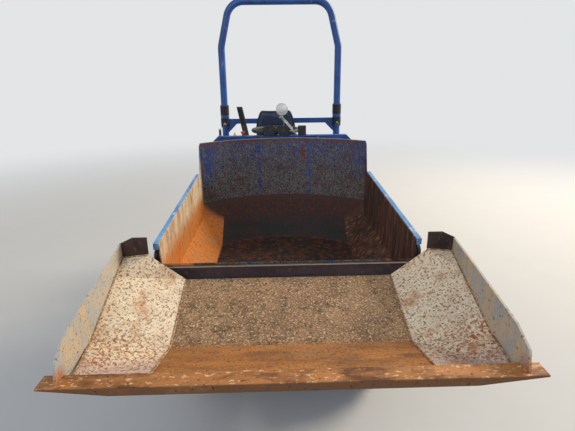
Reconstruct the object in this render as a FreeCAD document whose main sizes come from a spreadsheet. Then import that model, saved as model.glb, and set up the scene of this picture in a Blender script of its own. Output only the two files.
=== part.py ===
"""Site dumper with a self-loading shovel: a parametric document, one object per piece.

Millimetres, +Z up. X runs across the machine and Y from the shovel to the tail. While a piece is
drawn, Y counts from the cutting edge of the shovel and Z from the ground. The placement of each
piece then moves it back by half the length, so that the origin lies on the ground under the middle.
"""
import FreeCAD, Part
import math
import os
import re
import Sketcher

SIZES = {
    # Shovel
    "blade_width": 1550, "blade_top": 927, "blade_face": 31, "blade_edge": 6, "blade_depth": 62,
    "blade_drop": 22, "blade_taper": 215, "chute_half": 460, "shovel_wall": 10, "fold_back": 335,
    "fold_height": 828, "pour_back": 690, "pour_height": 936, "shovel_half": 725, "side_wall": 8,
    "wing_front": 700, "rim_back_1": 256, "rim_height_1": 912, "rim_back_2": 380, "rim_height_2": 962,
    "rim_back_3": 546, "rim_height_3": 1023, "rim_lap": 14, "side_front": 15, "side_back_1": 33,
    "side_height_1": 994, "side_back_2": 121, "side_height_2": 1036, "side_back_3": 241,
    "side_height_3": 1057, "side_back_4": 404, "side_height_4": 1085, "ear_back": 656,
    "ear_inner": 606, "ear_slope": 668, "ear_top": 1152, "ear_foot": 1074, "ear_outer_top": 1125,

    # Lift arms
    "arm_pivot_back": 1770, "arm_pivot_height": 620, "arm_inner": 622, "arm_thick": 30,
    "arm_depth": 110, "arm_pin": 22, "tip_pin_back": 470, "tip_pin_height": 800, "cross_reach": 90,
    "cross_drop": 50, "cross_radius": 35, "bracket_thick": 14, "bracket_gap": 5,

    # Skip
    "skip_half": 572, "skip_wall": 6, "floor_height": 690, "floor_half": 428, "floor_front": 1112,
    "floor_back": 1690, "floor_sag": 156, "fold_side": 860, "bend_height": 950, "upper_back": 1880,
    "upper_sag": 215, "lip_front": 735, "lip_top": 976, "lip_tall": 60, "lip_deep": 30,
    "trim_top": 1600, "rim_front": 715, "rim_start": 1100, "rim_back": 1835, "rim_end": 1167,
    "rim_wide": 22, "rim_tall": 28, "wall_back": 1897, "wall_top": 1370, "skip_pin_back": 750,
    "skip_pin_height": 1030, "skip_pin": 14, "ram_eye_back": 1640, "ram_eye_height": 600,

    # Front chassis
    "post_gap": 10, "post_thick": 14, "post_half": 32, "post_foot": 110, "rail_half": 200,
    "rail_wide": 60, "rail_tall": 110, "rail_base": 450, "front_beam_back": 760,
    "front_beam_deep": 80, "front_beam_tall": 120, "rear_beam_back": 1760, "rear_beam_deep": 90,
    "rear_beam_tall": 110, "rear_beam_base": 530, "beam_half": 602, "cheek_thick": 14,
    "cheek_low": 290, "cheek_high": 680, "ram_base_back": 860, "ram_base_height": 360,
    "lift_base_back": 1760, "lift_base_height": 330, "joint_back": 1950, "joint_low": 400,
    "joint_high": 600, "joint_radius": 45, "joint_pin": 30, "fork_half": 70, "fork_plate": 25,
    "running_gap": 0.05,

    # Wheels
    "tyre_radius": 330, "tyre_wide": 200, "rim_radius": 165, "track_half": 490,
    "front_axle_back": 1300, "rear_axle_back": 2750, "axle_radius": 45, "hub_radius": 70,
    "hub_long": 60, "axle_box": 110, "wheel_disc": 10,

    # Cylinders
    "lift_plane": 686, "lift_barrel": 27, "lift_rod": 14, "lift_eye_back": 1150,
    "lift_eye_height": 650, "lift_tube_end": 470, "lift_rod_start": 215, "tilt_barrel": 24,
    "tilt_rod": 12, "tilt_base_back": 620, "tilt_base_height": 655, "tilt_eye_back": 250,
    "tilt_eye_height": 787, "tilt_tube_end": 250, "tilt_rod_start": 140, "ram_barrel": 38,
    "ram_rod": 22, "ram_tube_end": 765, "ram_rod_start": 40, "steer_barrel": 24, "steer_rod": 12,
    "pin_radius": 11, "steer_plane": 260, "steer_height": 500, "steer_eye_back": 1870,
    "steer_base_back": 2330, "steer_tube_long": 284, "steer_rod_long": 310,

    # Rear chassis
    "rear_rail_half": 190, "rear_rail_wide": 70, "rear_rail_tall": 120, "rear_rail_base": 440,
    "rear_rail_front": 2120, "tail_back": 3400, "tail_deep": 110, "tail_half": 420,
    "tail_low": 380, "tail_high": 780, "tow_half": 60, "tow_tall": 90, "tow_plate": 20,
    "tow_bore": 13, "deck_front": 2190, "deck_back": 2560, "deck_height": 560, "deck_half": 520,
    "deck_thick": 6, "panel_front": 2200, "panel_half": 543, "panel_deep": 60, "panel_top": 1372,
    "panel_tall": 150, "panel_round": 55, "console_half": 150, "console_deep": 180,

    # Engine and hood
    "engine_front": 2800, "engine_long": 430, "engine_half": 170, "engine_base": 560,
    "engine_tall": 300, "hood_front": 2560, "hood_back": 3285, "hood_half": 330, "hood_top": 900,
    "hood_wall": 4, "hood_base": 566, "exhaust_radius": 25, "exhaust_tall": 340,

    # Driver's place
    "driver_shift": -50, "seat_middle": 2700, "seat_half": 225, "seat_long": 420,
    "seat_frame": 60, "cushion_tall": 80, "back_rest_back": 2860, "back_rest_thick": 70,
    "back_rest_top": 1530, "back_rest_half": 200, "lever_foot": -125, "lever_head": -330,
    "lever_wide": 44, "lever_thick": 20, "lever_back": 2385, "lever_top": 1576, "stalk_foot": 112,
    "knuckle_across": -8, "knuckle_rise": 135, "lamp_across": 0, "lamp_rise": 194,
    "lamp_radius": 44, "box_across": 120, "box_wide": 60, "box_tall": 70, "post_across": -470,
    "post_tall": 48, "wheel_centre_back": 2430, "wheel_centre_height": 1330,
    "steering_radius": 180, "steering_grip": 14, "column_radius": 28, "fender_wide": 250,
    "fender_thick": 6, "fender_gap": 60,

    # Roll bar
    "bar_back": 2990, "bar_half": 515, "bar_radius": 30, "bar_wall": 4, "fold_pin": 62,
    "foot_tall": 50, "bar_hinge": 1455, "bar_top": 2412, "bar_shoulder": 2050,
    "bar_shoulder_half": 425, "bar_bend": 150, "brace_height": 1408, "brace_tall": 45,
    "brace_thick": 10, "sleeve_radius": 38, "sleeve_long": 200, "gusset": 130,
}

doc = FreeCAD.newDocument("SiteDumper")
dims = doc.addObject("Spreadsheet::Sheet", "Dims")
for row, (name, value) in enumerate(SIZES.items(), 1):
    dims.set("A%d" % row, name)
    dims.set("B%d" % row, str(value))
    dims.setAlias("B%d" % row, name)
doc.recompute()


def bound(text):
    """Turn a formula of size names into one that reads them from the sheet."""
    return re.sub(r"[a-z][a-z_0-9]*",
                  lambda word: ("Dims." if word.group() in SIZES else "") + word.group(), text)


def size(name):
    """The value of one size, as the sheet has it now."""
    return float(dims.get(name))


def bind(thing, **formulas):
    """Bind properties to formulas; two underscores in a name stand for a dot."""
    for name, formula in formulas.items():
        thing.setExpression(name.replace("__", "."), bound(formula))
    return thing


def minus(side, formula):
    """The formula on the right side, and its negative on the left."""
    return formula if side > 0 else "-(" + formula + ")"


# Shapes that are used again and again

PLANES = {"across": "YZ_Plane", "flat": "XY_Plane", "facing": "XZ_Plane"}


def outline(body, plane, corners, offset="0"):
    """A closed outline whose corners are held by two distances each."""
    sketch = body.newObject("Sketcher::SketchObject", "Outline")
    plane_name = PLANES[plane]
    support = [f for f in body.Origin.OriginFeatures if f.Role == plane_name][0]
    sketch.AttachmentSupport = [(support, "")]
    sketch.MapMode = "FlatFace"
    bind(sketch, AttachmentOffset__Base__z=offset)
    count = len(corners)
    step = 2 * math.pi / count
    ring = [FreeCAD.Vector(500 * math.cos(step * i), 500 * math.sin(step * i), 0) for i in range(count)]
    for i in range(count):
        sketch.addGeometry(Part.LineSegment(ring[i], ring[(i + 1) % count]), False)
    for i in range(count):
        sketch.addConstraint(Sketcher.Constraint("Coincident", i, 2, (i + 1) % count, 1))
    for i, (first, second) in enumerate(corners):
        for kind, formula, start in (("DistanceX", first, ring[i].x), ("DistanceY", second, ring[i].y)):
            number = sketch.addConstraint(Sketcher.Constraint(kind, -1, 1, i, 1, start))
            sketch.setExpression("Constraints[%d]" % number, bound(formula))
    return sketch


def plate(name, plane, corners, start, thick):
    """A flat plate: an outline and the thickness that it is padded to, from the start inwards."""
    body = doc.addObject("PartDesign::Body", name)
    sketch = outline(body, plane, corners, start)
    pad = body.newObject("PartDesign::Pad", name + "_pad")
    pad.Profile = sketch
    bind(pad, Length=thick)
    return body


def block(name, low, high):
    """A box between two corners."""
    box = doc.addObject("Part::Box", name)
    bind(box, Length="(%s) - (%s)" % (high[0], low[0]), Width="(%s) - (%s)" % (high[1], low[1]),
         Height="(%s) - (%s)" % (high[2], low[2]), Placement__Base__x=low[0],
         Placement__Base__y=low[1], Placement__Base__z=low[2])
    return box


TURNS = {"X": FreeCAD.Rotation(FreeCAD.Vector(0, 1, 0), 90), "Z": FreeCAD.Rotation(),
         "Y": FreeCAD.Rotation(FreeCAD.Vector(1, 0, 0), -90)}


def rod(name, axis, start, radius, length):
    """A round bar along an axis, from its start."""
    bar = doc.addObject("Part::Cylinder", name)
    bar.Placement = FreeCAD.Placement(FreeCAD.Vector(), TURNS[axis])
    bind(bar, Radius=radius, Height=length, Placement__Base__x=start[0], Placement__Base__y=start[1],
         Placement__Base__z=start[2])
    return bar


def link(name, x, base, eye, radius, first, last):
    """A round bar in the plane of the cylinders, along the line from a base to an eye.

    It starts at the distance first from the base and ends at the distance last from it.
    """
    run_y = "(%s) - (%s)" % (eye[0], base[0])
    run_z = "(%s) - (%s)" % (eye[1], base[1])
    reach = "sqrt((%s)^2 + (%s)^2)" % (run_y, run_z)
    first = first.replace("REACH", reach)
    last = last.replace("REACH", reach)
    bar = doc.addObject("Part::Cylinder", name)
    bar.Placement = FreeCAD.Placement(FreeCAD.Vector(), FreeCAD.Rotation(FreeCAD.Vector(1, 0, 0), 45))
    bind(bar, Radius=radius, Height="(%s) - (%s)" % (last, first), Placement__Base__x=x,
         Placement__Base__y="(%s) + (%s) * (%s) / %s" % (base[0], run_y, first, reach),
         Placement__Base__z="(%s) + (%s) * (%s) / %s" % (base[1], run_z, first, reach),
         Placement__Rotation__Angle="atan2(-(%s); %s)" % (run_y, run_z))
    return bar


def fused(name, *things):
    """Several shapes welded into one, or kept as solids side by side where they don't meet."""
    joint = doc.addObject("Part::MultiFuse", name)
    joint.Shapes = list(things)
    return joint


def bored(name, base, *tools):
    """A shape with others taken away from it."""
    for i, tool in enumerate(tools):
        cut = doc.addObject("Part::Cut", name if i == len(tools) - 1 else "%s_bored%d" % (name, i))
        cut.Base = base
        cut.Tool = tool
        base = cut
    return base


pieces = []


def piece(label, thing):
    """Declare a finished piece: its label names its file."""
    thing.Label = label
    pieces.append(thing)
    return thing


# Shovel

def blade():
    half = "blade_width / 2"
    corners = [("-" + half, "blade_top"), ("-" + half, "blade_top - blade_edge"),
               ("-" + half + " + blade_taper", "blade_top - blade_face"),
               (half + " - blade_taper", "blade_top - blade_face"),
               (half, "blade_top - blade_edge"), (half, "blade_top")]
    return plate("Blade", "facing", corners, "-blade_depth", "blade_depth")


def shovel_floor():
    """Floor and chute in one folded plate: it falls to the fold, then climbs to the pouring edge."""
    top = [("blade_depth", "blade_top - blade_drop"), ("fold_back", "fold_height"),
           ("pour_back", "pour_height")]
    under = [(y, "%s - shovel_wall" % z) for y, z in reversed(top)]
    return plate("ShovelFloor", "across", top + under, "-chute_half", "2 * chute_half")


def sheet_solid(corners, facets, thick):
    """A folded sheet of flat facets, as thick downwards as given."""
    top = [FreeCAD.Vector(*corner) for corner in corners]
    low = [FreeCAD.Vector(v.x, v.y, v.z - thick) for v in top]
    faces = []
    edges = {}
    for facet in facets:
        faces.append(Part.Face(Part.makePolygon([top[i] for i in facet] + [top[facet[0]]])))
        faces.append(Part.Face(Part.makePolygon([low[i] for i in facet] + [low[facet[0]]])))
        for a, b in zip(facet, facet[1:] + facet[:1]):
            edges[frozenset((a, b))] = edges.get(frozenset((a, b)), 0) + 1
    for edge, uses in edges.items():
        if uses == 1:
            a, b = sorted(edge)
            faces.append(Part.Face(Part.makePolygon([top[a], top[b], low[b], low[a], top[a]])))
    solid = Part.Solid(Part.Shell(faces))
    return solid if solid.Volume > 0 else solid.reversed()


def shovel_sides():
    corners = [("side_front", "blade_top")]
    corners += [("side_back_%d" % i, "side_height_%d" % i) for i in (1, 2, 3, 4)]
    corners += [("ear_back", "ear_outer_top"), ("ear_back", "ear_foot - rim_lap - 12")]
    corners += [("rim_back_%d" % i, "rim_height_%d - rim_lap" % i) for i in (3, 2, 1)]
    corners += [("blade_depth", "blade_top - blade_drop - shovel_wall"), ("blade_depth", "blade_top")]
    return fused("ShovelSides", plate("SideRight", "across", corners, "shovel_half - side_wall",
                                      "side_wall"),
                 plate("SideLeft", "across", corners, "-shovel_half", "side_wall"))


def shovel_ears():
    ears = []
    for side in (-1, 1):
        corners = [(minus(side, "ear_inner"), "ear_foot"), (minus(side, "ear_inner"), "ear_top"),
                   (minus(side, "ear_slope"), "ear_top"),
                   (minus(side, "shovel_half"), "ear_outer_top"),
                   (minus(side, "shovel_half"), "ear_foot - 26"),
                   (minus(side, "shovel_half - side_wall"), "ear_foot - 22")]
        ears.append(plate("Ear", "facing", corners, "-(ear_back + side_wall)", "side_wall"))
    return fused("ShovelEars", *ears)


def wing_corners():
    """The corners of the right wing, then its facets."""
    rim = size("shovel_half") - size("side_wall")
    chute = size("chute_half")
    start = size("blade_top") - size("blade_drop")
    corners = [(size("wing_front"), size("blade_depth"), start),
               (chute, size("blade_depth"), start),
               (chute, size("fold_back"), size("fold_height")),
               (chute, size("pour_back"), size("pour_height")),
               (size("ear_inner"), size("ear_back"), size("ear_foot")),
               (rim, size("ear_back"), size("ear_foot") - 12),
               (rim, size("rim_back_3"), size("rim_height_3")),
               (rim, size("rim_back_2"), size("rim_height_2")),
               (rim, size("rim_back_1"), size("rim_height_1"))]
    return corners, [(0, 1, 2), (0, 2, 8), (8, 2, 7), (7, 2, 3), (7, 3, 6), (6, 3, 4), (6, 4, 5)]


def wing_solids(name, lift, thick):
    """Both wings as sheets, raised by lift and as thick downwards as given."""
    corners, facets = wing_corners()
    wings = [sheet_solid([(side * x, y, z + lift) for x, y, z in corners], facets, thick)
             for side in (-1, 1)]
    body = doc.addObject("Part::Feature", name)
    body.Shape = Part.Compound(wings)
    return body


def shovel_brackets():
    """Hinge plates under the wings and the lugs of the tilt cylinder under the floor."""
    parts = []
    above = wing_solids("AboveWings", 400, 400 + size("shovel_wall"))
    for side in (-1, 1):
        for offset in ("-bracket_gap - bracket_thick", "arm_thick + bracket_gap"):
            inner = "arm_inner + (%s)" % offset
            start = inner if side > 0 else "-(%s) - bracket_thick" % inner
            hanger = plate("Hanger", "across",
                           [("tip_pin_back - 60", "tip_pin_height + 20"),
                            ("tip_pin_back - 30", "tip_pin_height - 45"),
                            ("tip_pin_back + 30", "tip_pin_height - 45"),
                            ("tip_pin_back + 60", "tip_pin_height + 20"),
                            ("tip_pin_back + 70", "tip_pin_height + 260"),
                            ("tip_pin_back - 60", "tip_pin_height + 260")], start, "bracket_thick")
            parts.append(bored("HangerBored", hanger, above,
                               rod("HangerBore", "X", ("-1000", "tip_pin_back", "tip_pin_height"),
                                   "arm_pin + running_gap", "2000")))
    floor = ("blade_top - blade_drop - shovel_wall - (%s - blade_depth)"
             " * (blade_top - blade_drop - fold_height) / (fold_back - blade_depth)")
    for start in ("-26", "16"):
        parts.append(plate("TiltLug", "across",
                           [("tilt_eye_back - 26", "tilt_eye_height - 24"),
                            ("tilt_eye_back + 26", "tilt_eye_height - 24"),
                            ("tilt_eye_back + 36", floor % "(tilt_eye_back + 36)"),
                            ("tilt_eye_back - 36", floor % "(tilt_eye_back - 36)")], start, "10"))
    return fused("ShovelBrackets", *parts)


piece("shovel_blade", blade())
piece("shovel_floor", shovel_floor())
piece("shovel_wings", wing_solids("ShovelWings", 0, size("shovel_wall")))
piece("shovel_sides", shovel_sides())
piece("shovel_ears", shovel_ears())
piece("shovel_brackets", shovel_brackets())


# Cylinders: each has a barrel hinged at its base and a rod that slides in it

def ram(x, base_half, eye_half, base, eye, barrel_radius, rod_radius, barrel_end, rod_start):
    """A barrel with a blind bore, and a rod that runs in it, both in a plane at x."""
    left = "(%s) - %s" % (x, base_half)
    wide = "2 * %s" % base_half
    tube = link("Tube", x, base, eye, barrel_radius, "18", barrel_end)
    ring = rod("Ring", "X", (left, base[0], base[1]), "2.2 * pin_radius", wide)
    barrel = bored("Barrel", fused("BarrelBlank", tube, ring),
                   link("Bore", x, base, eye, "%s + running_gap" % rod_radius, "32", barrel_end + " + 1"),
                   rod("PinBore", "X", (left, base[0], base[1]), "pin_radius + running_gap", wide))
    eye_ring = rod("EyeRing", "X", ("(%s) - %s" % (x, eye_half), eye[0], eye[1]), "2 * pin_radius",
                   "2 * " + eye_half)
    shaft = fused("Shaft", link("Rod", x, base, eye, rod_radius, rod_start, "REACH"), eye_ring)
    return barrel, shaft


def paired(name, maker):
    """The same thing made on the left and on the right."""
    return fused(name, *[maker(side) for side in (-1, 1)])


lift_base = ("lift_base_back", "lift_base_height")
lift_eye = ("lift_eye_back", "lift_eye_height")
lift_left = ram("-lift_plane", "16", "16", lift_base, lift_eye, "lift_barrel", "lift_rod",
               "lift_tube_end", "lift_rod_start")
lift_right = ram("lift_plane", "16", "16", lift_base, lift_eye, "lift_barrel", "lift_rod",
               "lift_tube_end", "lift_rod_start")
piece("lift_barrels", fused("LiftBarrels", lift_left[0], lift_right[0]))
piece("lift_rods", fused("LiftRods", lift_left[1], lift_right[1]))
tilt = ram("0", "25", "14", ("tilt_base_back", "tilt_base_height"), ("tilt_eye_back", "tilt_eye_height"),
           "tilt_barrel", "tilt_rod", "tilt_tube_end", "tilt_rod_start")
piece("tilt_barrel", tilt[0])
piece("tilt_rod", tilt[1])
tip = ram("0", "40", "24", ("ram_base_back", "ram_base_height"), ("ram_eye_back", "ram_eye_height"),
          "ram_barrel", "ram_rod", "ram_tube_end", "ram_rod_start")
piece("ram_barrel", tip[0])
piece("ram_rod", tip[1])


def steering_cylinder():
    """The cylinder beside the centre joint, which lies level."""
    x, z = "-steer_plane", "steer_height"
    low = z + " - 15"
    base = rod("SteerRing", "Z", (x, "steer_base_back", low), "2.2 * pin_radius", "30")
    tube = rod("SteerTube", "Y", (x, "steer_base_back - steer_tube_long - 16", z), "steer_barrel",
               "steer_tube_long")
    barrel = bored("SteerBarrel", fused("SteerBlank", base, tube),
                   rod("SteerBore", "Y", (x, "steer_base_back - steer_tube_long - 17", z),
                       "steer_rod + running_gap", "steer_tube_long - 13"),
                   rod("SteerPinBore", "Z", (x, "steer_base_back", low), "pin_radius + running_gap", "30"))
    eye = rod("SteerEye", "Z", (x, "steer_eye_back", low), "2 * pin_radius", "30")
    shaft = rod("SteerRodBar", "Y", (x, "steer_eye_back", z), "steer_rod", "steer_rod_long")
    return barrel, fused("SteerRod", eye, shaft)


steer_barrel, steer_rod = steering_cylinder()
piece("steer_barrel", steer_barrel)
piece("steer_rod", steer_rod)


# Lift arms

def lift_arm(side):
    inner = "arm_inner" if side > 0 else "-arm_inner - arm_thick"
    arm = plate("Arm", "across",
                [("arm_pivot_back + 50", "arm_pivot_height - 30"),
                 ("arm_pivot_back + 50", "arm_pivot_height + 30"),
                 ("arm_pivot_back - 20", "arm_pivot_height + 0.5 * arm_depth"),
                 ("tip_pin_back + 150", "tip_pin_height + 34"),
                 ("tip_pin_back - 36", "tip_pin_height + 30"),
                 ("tip_pin_back - 36", "tip_pin_height - 30"),
                 ("tip_pin_back + 150", "tip_pin_height - 76"),
                 ("arm_pivot_back - 20", "arm_pivot_height - 0.5 * arm_depth")], inner, "arm_thick")
    arm = bored("ArmBored", arm, rod("ArmBore", "X", ("-1000", "arm_pivot_back", "arm_pivot_height"),
                                     "arm_pin + running_gap", "2000"))
    pin = rod("TipPin", "X", (inner + " - bracket_thick - bracket_gap - 1", "tip_pin_back",
                              "tip_pin_height"),
              "arm_pin", "arm_thick + 2 * (bracket_thick + bracket_gap + 1)")
    stub = "arm_inner + arm_thick" if side > 0 else "-(arm_inner + arm_thick) - 12"
    return fused("ArmWithPin", arm, pin, rod("EyeStub", "X", (stub, "lift_eye_back", "lift_eye_height"),
                                             "2 * pin_radius", "12"))


def lift_arms():
    tube = rod("CrossTube", "X", ("-arm_inner", "tip_pin_back + cross_reach",
                                  "tip_pin_height - cross_drop"), "cross_radius", "2 * arm_inner")
    parts = [lift_arm(-1), lift_arm(1), tube]
    for start in ("-37", "27"):
        parts.append(bored("TiltBaseLug",
                           plate("TiltBase", "across",
                                 [("tip_pin_back + cross_reach - 24", "tip_pin_height - cross_drop"),
                                  ("tilt_base_back - 28", "tilt_base_height - 26"),
                                  ("tilt_base_back + 28", "tilt_base_height - 26"),
                                  ("tip_pin_back + cross_reach + 24", "tip_pin_height - cross_drop")],
                                 start, "10"),
                           rod("TiltBaseBore", "X", ("-40", "tilt_base_back", "tilt_base_height"),
                               "pin_radius", "80")))
    parts.append(rod("TiltBasePin", "X", ("-37", "tilt_base_back", "tilt_base_height"), "pin_radius", "74"))
    return fused("LiftArms", *parts)


piece("lift_arms", lift_arms())


# Skip

def plan(body, z, half, front, ends, sag, grow):
    """One level of the skip: a straight front and sides, and a back that bulges rearwards."""
    sketch = body.newObject("Sketcher::SketchObject", "Level")
    support = [f for f in body.Origin.OriginFeatures if f.Role == "XY_Plane"][0]
    sketch.AttachmentSupport = [(support, "")]
    sketch.MapMode = "FlatFace"
    bind(sketch, AttachmentOffset__Base__z=z)
    h, f, e, s = [float(v) for v in (570, 900, 1850, 200)]
    corners = [FreeCAD.Vector(-h, e, 0), FreeCAD.Vector(-h, f, 0), FreeCAD.Vector(h, f, 0),
               FreeCAD.Vector(h, e, 0)]
    for a, b in zip(corners, corners[1:]):
        sketch.addGeometry(Part.LineSegment(a, b), False)
    sketch.addGeometry(Part.Arc(corners[3], FreeCAD.Vector(0, e + s, 0), corners[0]), False)
    for i in range(2):
        sketch.addConstraint(Sketcher.Constraint("Coincident", i, 2, i + 1, 1))
    sketch.addConstraint(Sketcher.Constraint("Coincident", 2, 2, 3, 1))
    sketch.addConstraint(Sketcher.Constraint("Coincident", 3, 2, 0, 1))
    wide = "(%s) + %s" % (half, grow)
    points = [("-(%s)" % wide, ends), ("-(%s)" % wide, front), (wide, front), (wide, ends)]
    for i, (x, y) in enumerate(points):
        line, end = (i, 1) if i < 3 else (2, 2)
        for kind, formula, start in (("DistanceX", x, corners[i].x), ("DistanceY", y, corners[i].y)):
            number = sketch.addConstraint(Sketcher.Constraint(kind, -1, 1, line, end, start))
            sketch.setExpression("Constraints[%d]" % number, bound(formula))
    number = sketch.addConstraint(Sketcher.Constraint("Radius", 3, 950.0))
    sketch.setExpression("Constraints[%d]" % number,
                         bound("(%s) / (2 * (%s)) * (%s) + (%s) / 2" % (wide, sag, wide, sag)))
    return sketch


def skip_solid(name, grow, base, lead):
    """The skip as a solid through its levels, larger by grow, with its front lead further forward."""
    slope = "(floor_front - lip_front - lip_deep) / (lip_top - 6 - floor_height)"
    body = doc.addObject("PartDesign::Body", name)
    levels = [(base, "floor_half", "floor_back", "floor_sag"),
              ("fold_side", "skip_half - 4", "floor_back + 124", "floor_sag + 38"),
              ("bend_height", "skip_half", "upper_back", "upper_sag"),
              ("trim_top", "skip_half", "wall_back", "upper_sag")]
    sketches = []
    for z, half, back, sag in levels:
        front = "floor_front - (%s - (%s)) * (%s) - %s" % (z, "floor_height", slope, lead)
        sketches.append(plan(body, z, half, front, "%s + %s" % (back, "0"), "%s + %s" % (sag, grow), grow))
    loft = body.newObject("PartDesign::AdditiveLoft", name + "_loft")
    loft.Profile = sketches[0]
    loft.Sections = sketches[1:]
    loft.Ruled = True
    return body


def skip_shell(outer):
    cavity = skip_solid("SkipCavity", "0", "floor_height", "0")
    trim = plate("SkipTrim", "across",
                 [("-500", "lip_top"), ("lip_front", "lip_top"), ("rim_front", "rim_start"),
                  ("rim_back", "rim_end"), ("wall_back", "wall_top"), ("wall_back + 700", "wall_top"),
                  ("wall_back + 700", "trim_top + 100"), ("-500", "trim_top + 100")], "-1000", "2000")
    return bored("SkipShell", outer, cavity, trim)


def skip_lip(outer):
    return bored("SkipLip", block("LipBar", ("-skip_half", "lip_front", "lip_top - lip_tall"),
                                  ("skip_half", "lip_front + lip_deep", "lip_top")), outer)


def skip_rim(side):
    corners = [("rim_front", "rim_start"), ("rim_front", "rim_start - rim_tall"),
               ("rim_back", "rim_end - rim_tall"), ("rim_back", "rim_end")]
    start = "skip_half + skip_wall" if side > 0 else "-(skip_half + skip_wall + rim_wide)"
    return plate("Rim", "across", corners, start, "rim_wide")


def skip_lugs():
    parts = []
    for side in (-1, 1):
        wall = "skip_half + skip_wall"
        start = wall if side > 0 else "-(%s) - (post_gap - 5)" % wall
        parts.append(rod("Boss", "X", (start, "skip_pin_back", "skip_pin_height"), "post_half - 2",
                         "post_gap - 5"))
        start = wall if side > 0 else "-(%s) - (post_gap + post_thick)" % wall
        parts.append(rod("SkipPin", "X", (start, "skip_pin_back", "skip_pin_height"), "skip_pin",
                         "post_gap + post_thick"))
        start = "26" if side > 0 else "-38"
        parts.append(plate("RamLug", "across",
                           [("ram_eye_back - 26", "ram_eye_height - 24"),
                            ("ram_eye_back + 26", "ram_eye_height - 24"),
                            ("ram_eye_back + 60", "floor_height - skip_wall"),
                            ("ram_eye_back - 60", "floor_height - skip_wall")], start, "12"))
    return fused("SkipLugs", *parts)


skip_outer = skip_solid("SkipOuter", "skip_wall", "floor_height - skip_wall", "1.6 * skip_wall")
piece("skip_shell", skip_shell(skip_outer))
piece("skip_lip", skip_lip(skip_outer))
piece("skip_rims", paired("SkipRims", skip_rim))
piece("skip_lugs", skip_lugs())


# Front chassis

def front_frame():
    parts = []
    for side in (-1, 1):
        inner = "rail_half - rail_wide" if side > 0 else "-rail_half"
        parts.append(block("Rail", (inner, "front_beam_back", "rail_base"),
                           ("(%s) + rail_wide" % inner, "joint_back - 90", "rail_base + rail_tall")))
    parts.append(block("FrontBeam", ("-(skip_half + skip_wall + post_gap)",
                                     "front_beam_back - 0.5 * front_beam_deep",
                                     "rail_base"),
                       ("skip_half + skip_wall + post_gap", "front_beam_back + 0.5 * front_beam_deep",
                        "rail_base + front_beam_tall")))
    parts.append(block("RearBeam", ("-beam_half", "rear_beam_back - 0.5 * rear_beam_deep",
                                    "rear_beam_base"),
                       ("beam_half", "rear_beam_back + 0.5 * rear_beam_deep",
                        "rear_beam_base + rear_beam_tall")))
    fork = block("ForkBlock", ("-rail_half", "rear_beam_back - 30", "joint_low"),
                 ("rail_half", "joint_back - 90", "joint_high"))
    lobes = block("Lobes", ("-fork_half", "joint_back - 90", "joint_low"),
                  ("fork_half", "joint_back + 40", "joint_high"))
    slot = block("ForkSlot", ("-fork_half - 1", "joint_back - 60", "joint_low + fork_plate"),
                 ("fork_half + 1", "joint_back + 60", "joint_high - fork_plate"))
    bore = rod("JointBore", "Z", ("0", "joint_back", "joint_low - 1"), "joint_pin + running_gap", "400")
    parts.append(bored("Fork", fused("ForkBlank", fork, lobes), slot, bore))
    for start in ("-54", "44"):
        parts.append(plate("RamBaseLug", "across",
                           [("ram_base_back - 28", "ram_base_height - 26"),
                            ("ram_base_back + 28", "ram_base_height - 26"),
                            ("ram_base_back + 28", "ram_base_height + 30"),
                            ("front_beam_back + 30", "rail_base + 70"),
                            ("front_beam_back + 30", "rail_base")],
                           start, "10"))
    parts.append(rod("RamBasePin", "X", ("-54", "ram_base_back", "ram_base_height"), "pin_radius", "108"))
    parts.append(block("SteerLug", ("-steer_plane - 30", "rear_beam_back + 30", "steer_height - 46"),
                       ("-rail_half + 10", "steer_eye_back + 20", "steer_height - 26")))
    parts.append(rod("SteerEyePin", "Z", ("-steer_plane", "steer_eye_back", "steer_height - 27"),
                     "pin_radius", "11"))
    return fused("FrontFrame", *parts)


def skip_post(side):
    face = "skip_half + skip_wall + post_gap"
    start = face if side > 0 else "-(%s) - post_thick" % face
    web = plate("Post", "across",
                [("skip_pin_back - 0.5 * post_foot", "rail_base"),
                 ("skip_pin_back + 0.5 * post_foot", "rail_base"),
                 ("skip_pin_back + post_half", "skip_pin_height - 160"),
                 ("skip_pin_back + post_half", "skip_pin_height"),
                 ("skip_pin_back - post_half", "skip_pin_height"),
                 ("skip_pin_back - post_half", "skip_pin_height - 160")], start, "post_thick")
    head = rod("PostHead", "X", (start, "skip_pin_back", "skip_pin_height"), "post_half", "post_thick")
    return bored("PostBored", fused("PostBlank", web, head),
                 rod("PostBore", "X", ("-1000", "skip_pin_back", "skip_pin_height"),
                     "skip_pin + running_gap", "2000"))


def arm_cheek(side):
    start = "beam_half" if side > 0 else "-beam_half - cheek_thick"
    cheek = plate("Cheek", "across",
                  [("rear_beam_back - 44", "cheek_low"), ("rear_beam_back + 44", "cheek_low"),
                   ("rear_beam_back + 64", "arm_pivot_height"), ("rear_beam_back + 44", "cheek_high"),
                   ("rear_beam_back - 44", "cheek_high")], start, "cheek_thick")
    outer = "beam_half + 2" if side > 0 else "-(arm_inner + arm_thick + 8)"
    pin = rod("ArmPin", "X", (outer, "arm_pivot_back", "arm_pivot_height"), "arm_pin",
              "arm_inner + arm_thick + 6 - beam_half")
    outer = "beam_half + 2" if side > 0 else "-(lift_plane + 16)"
    base = rod("LiftPin", "X", (outer, "lift_base_back", "lift_base_height"), "pin_radius",
               "lift_plane + 14 - beam_half")
    return fused("CheekWithPins", cheek, pin, base)


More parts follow.
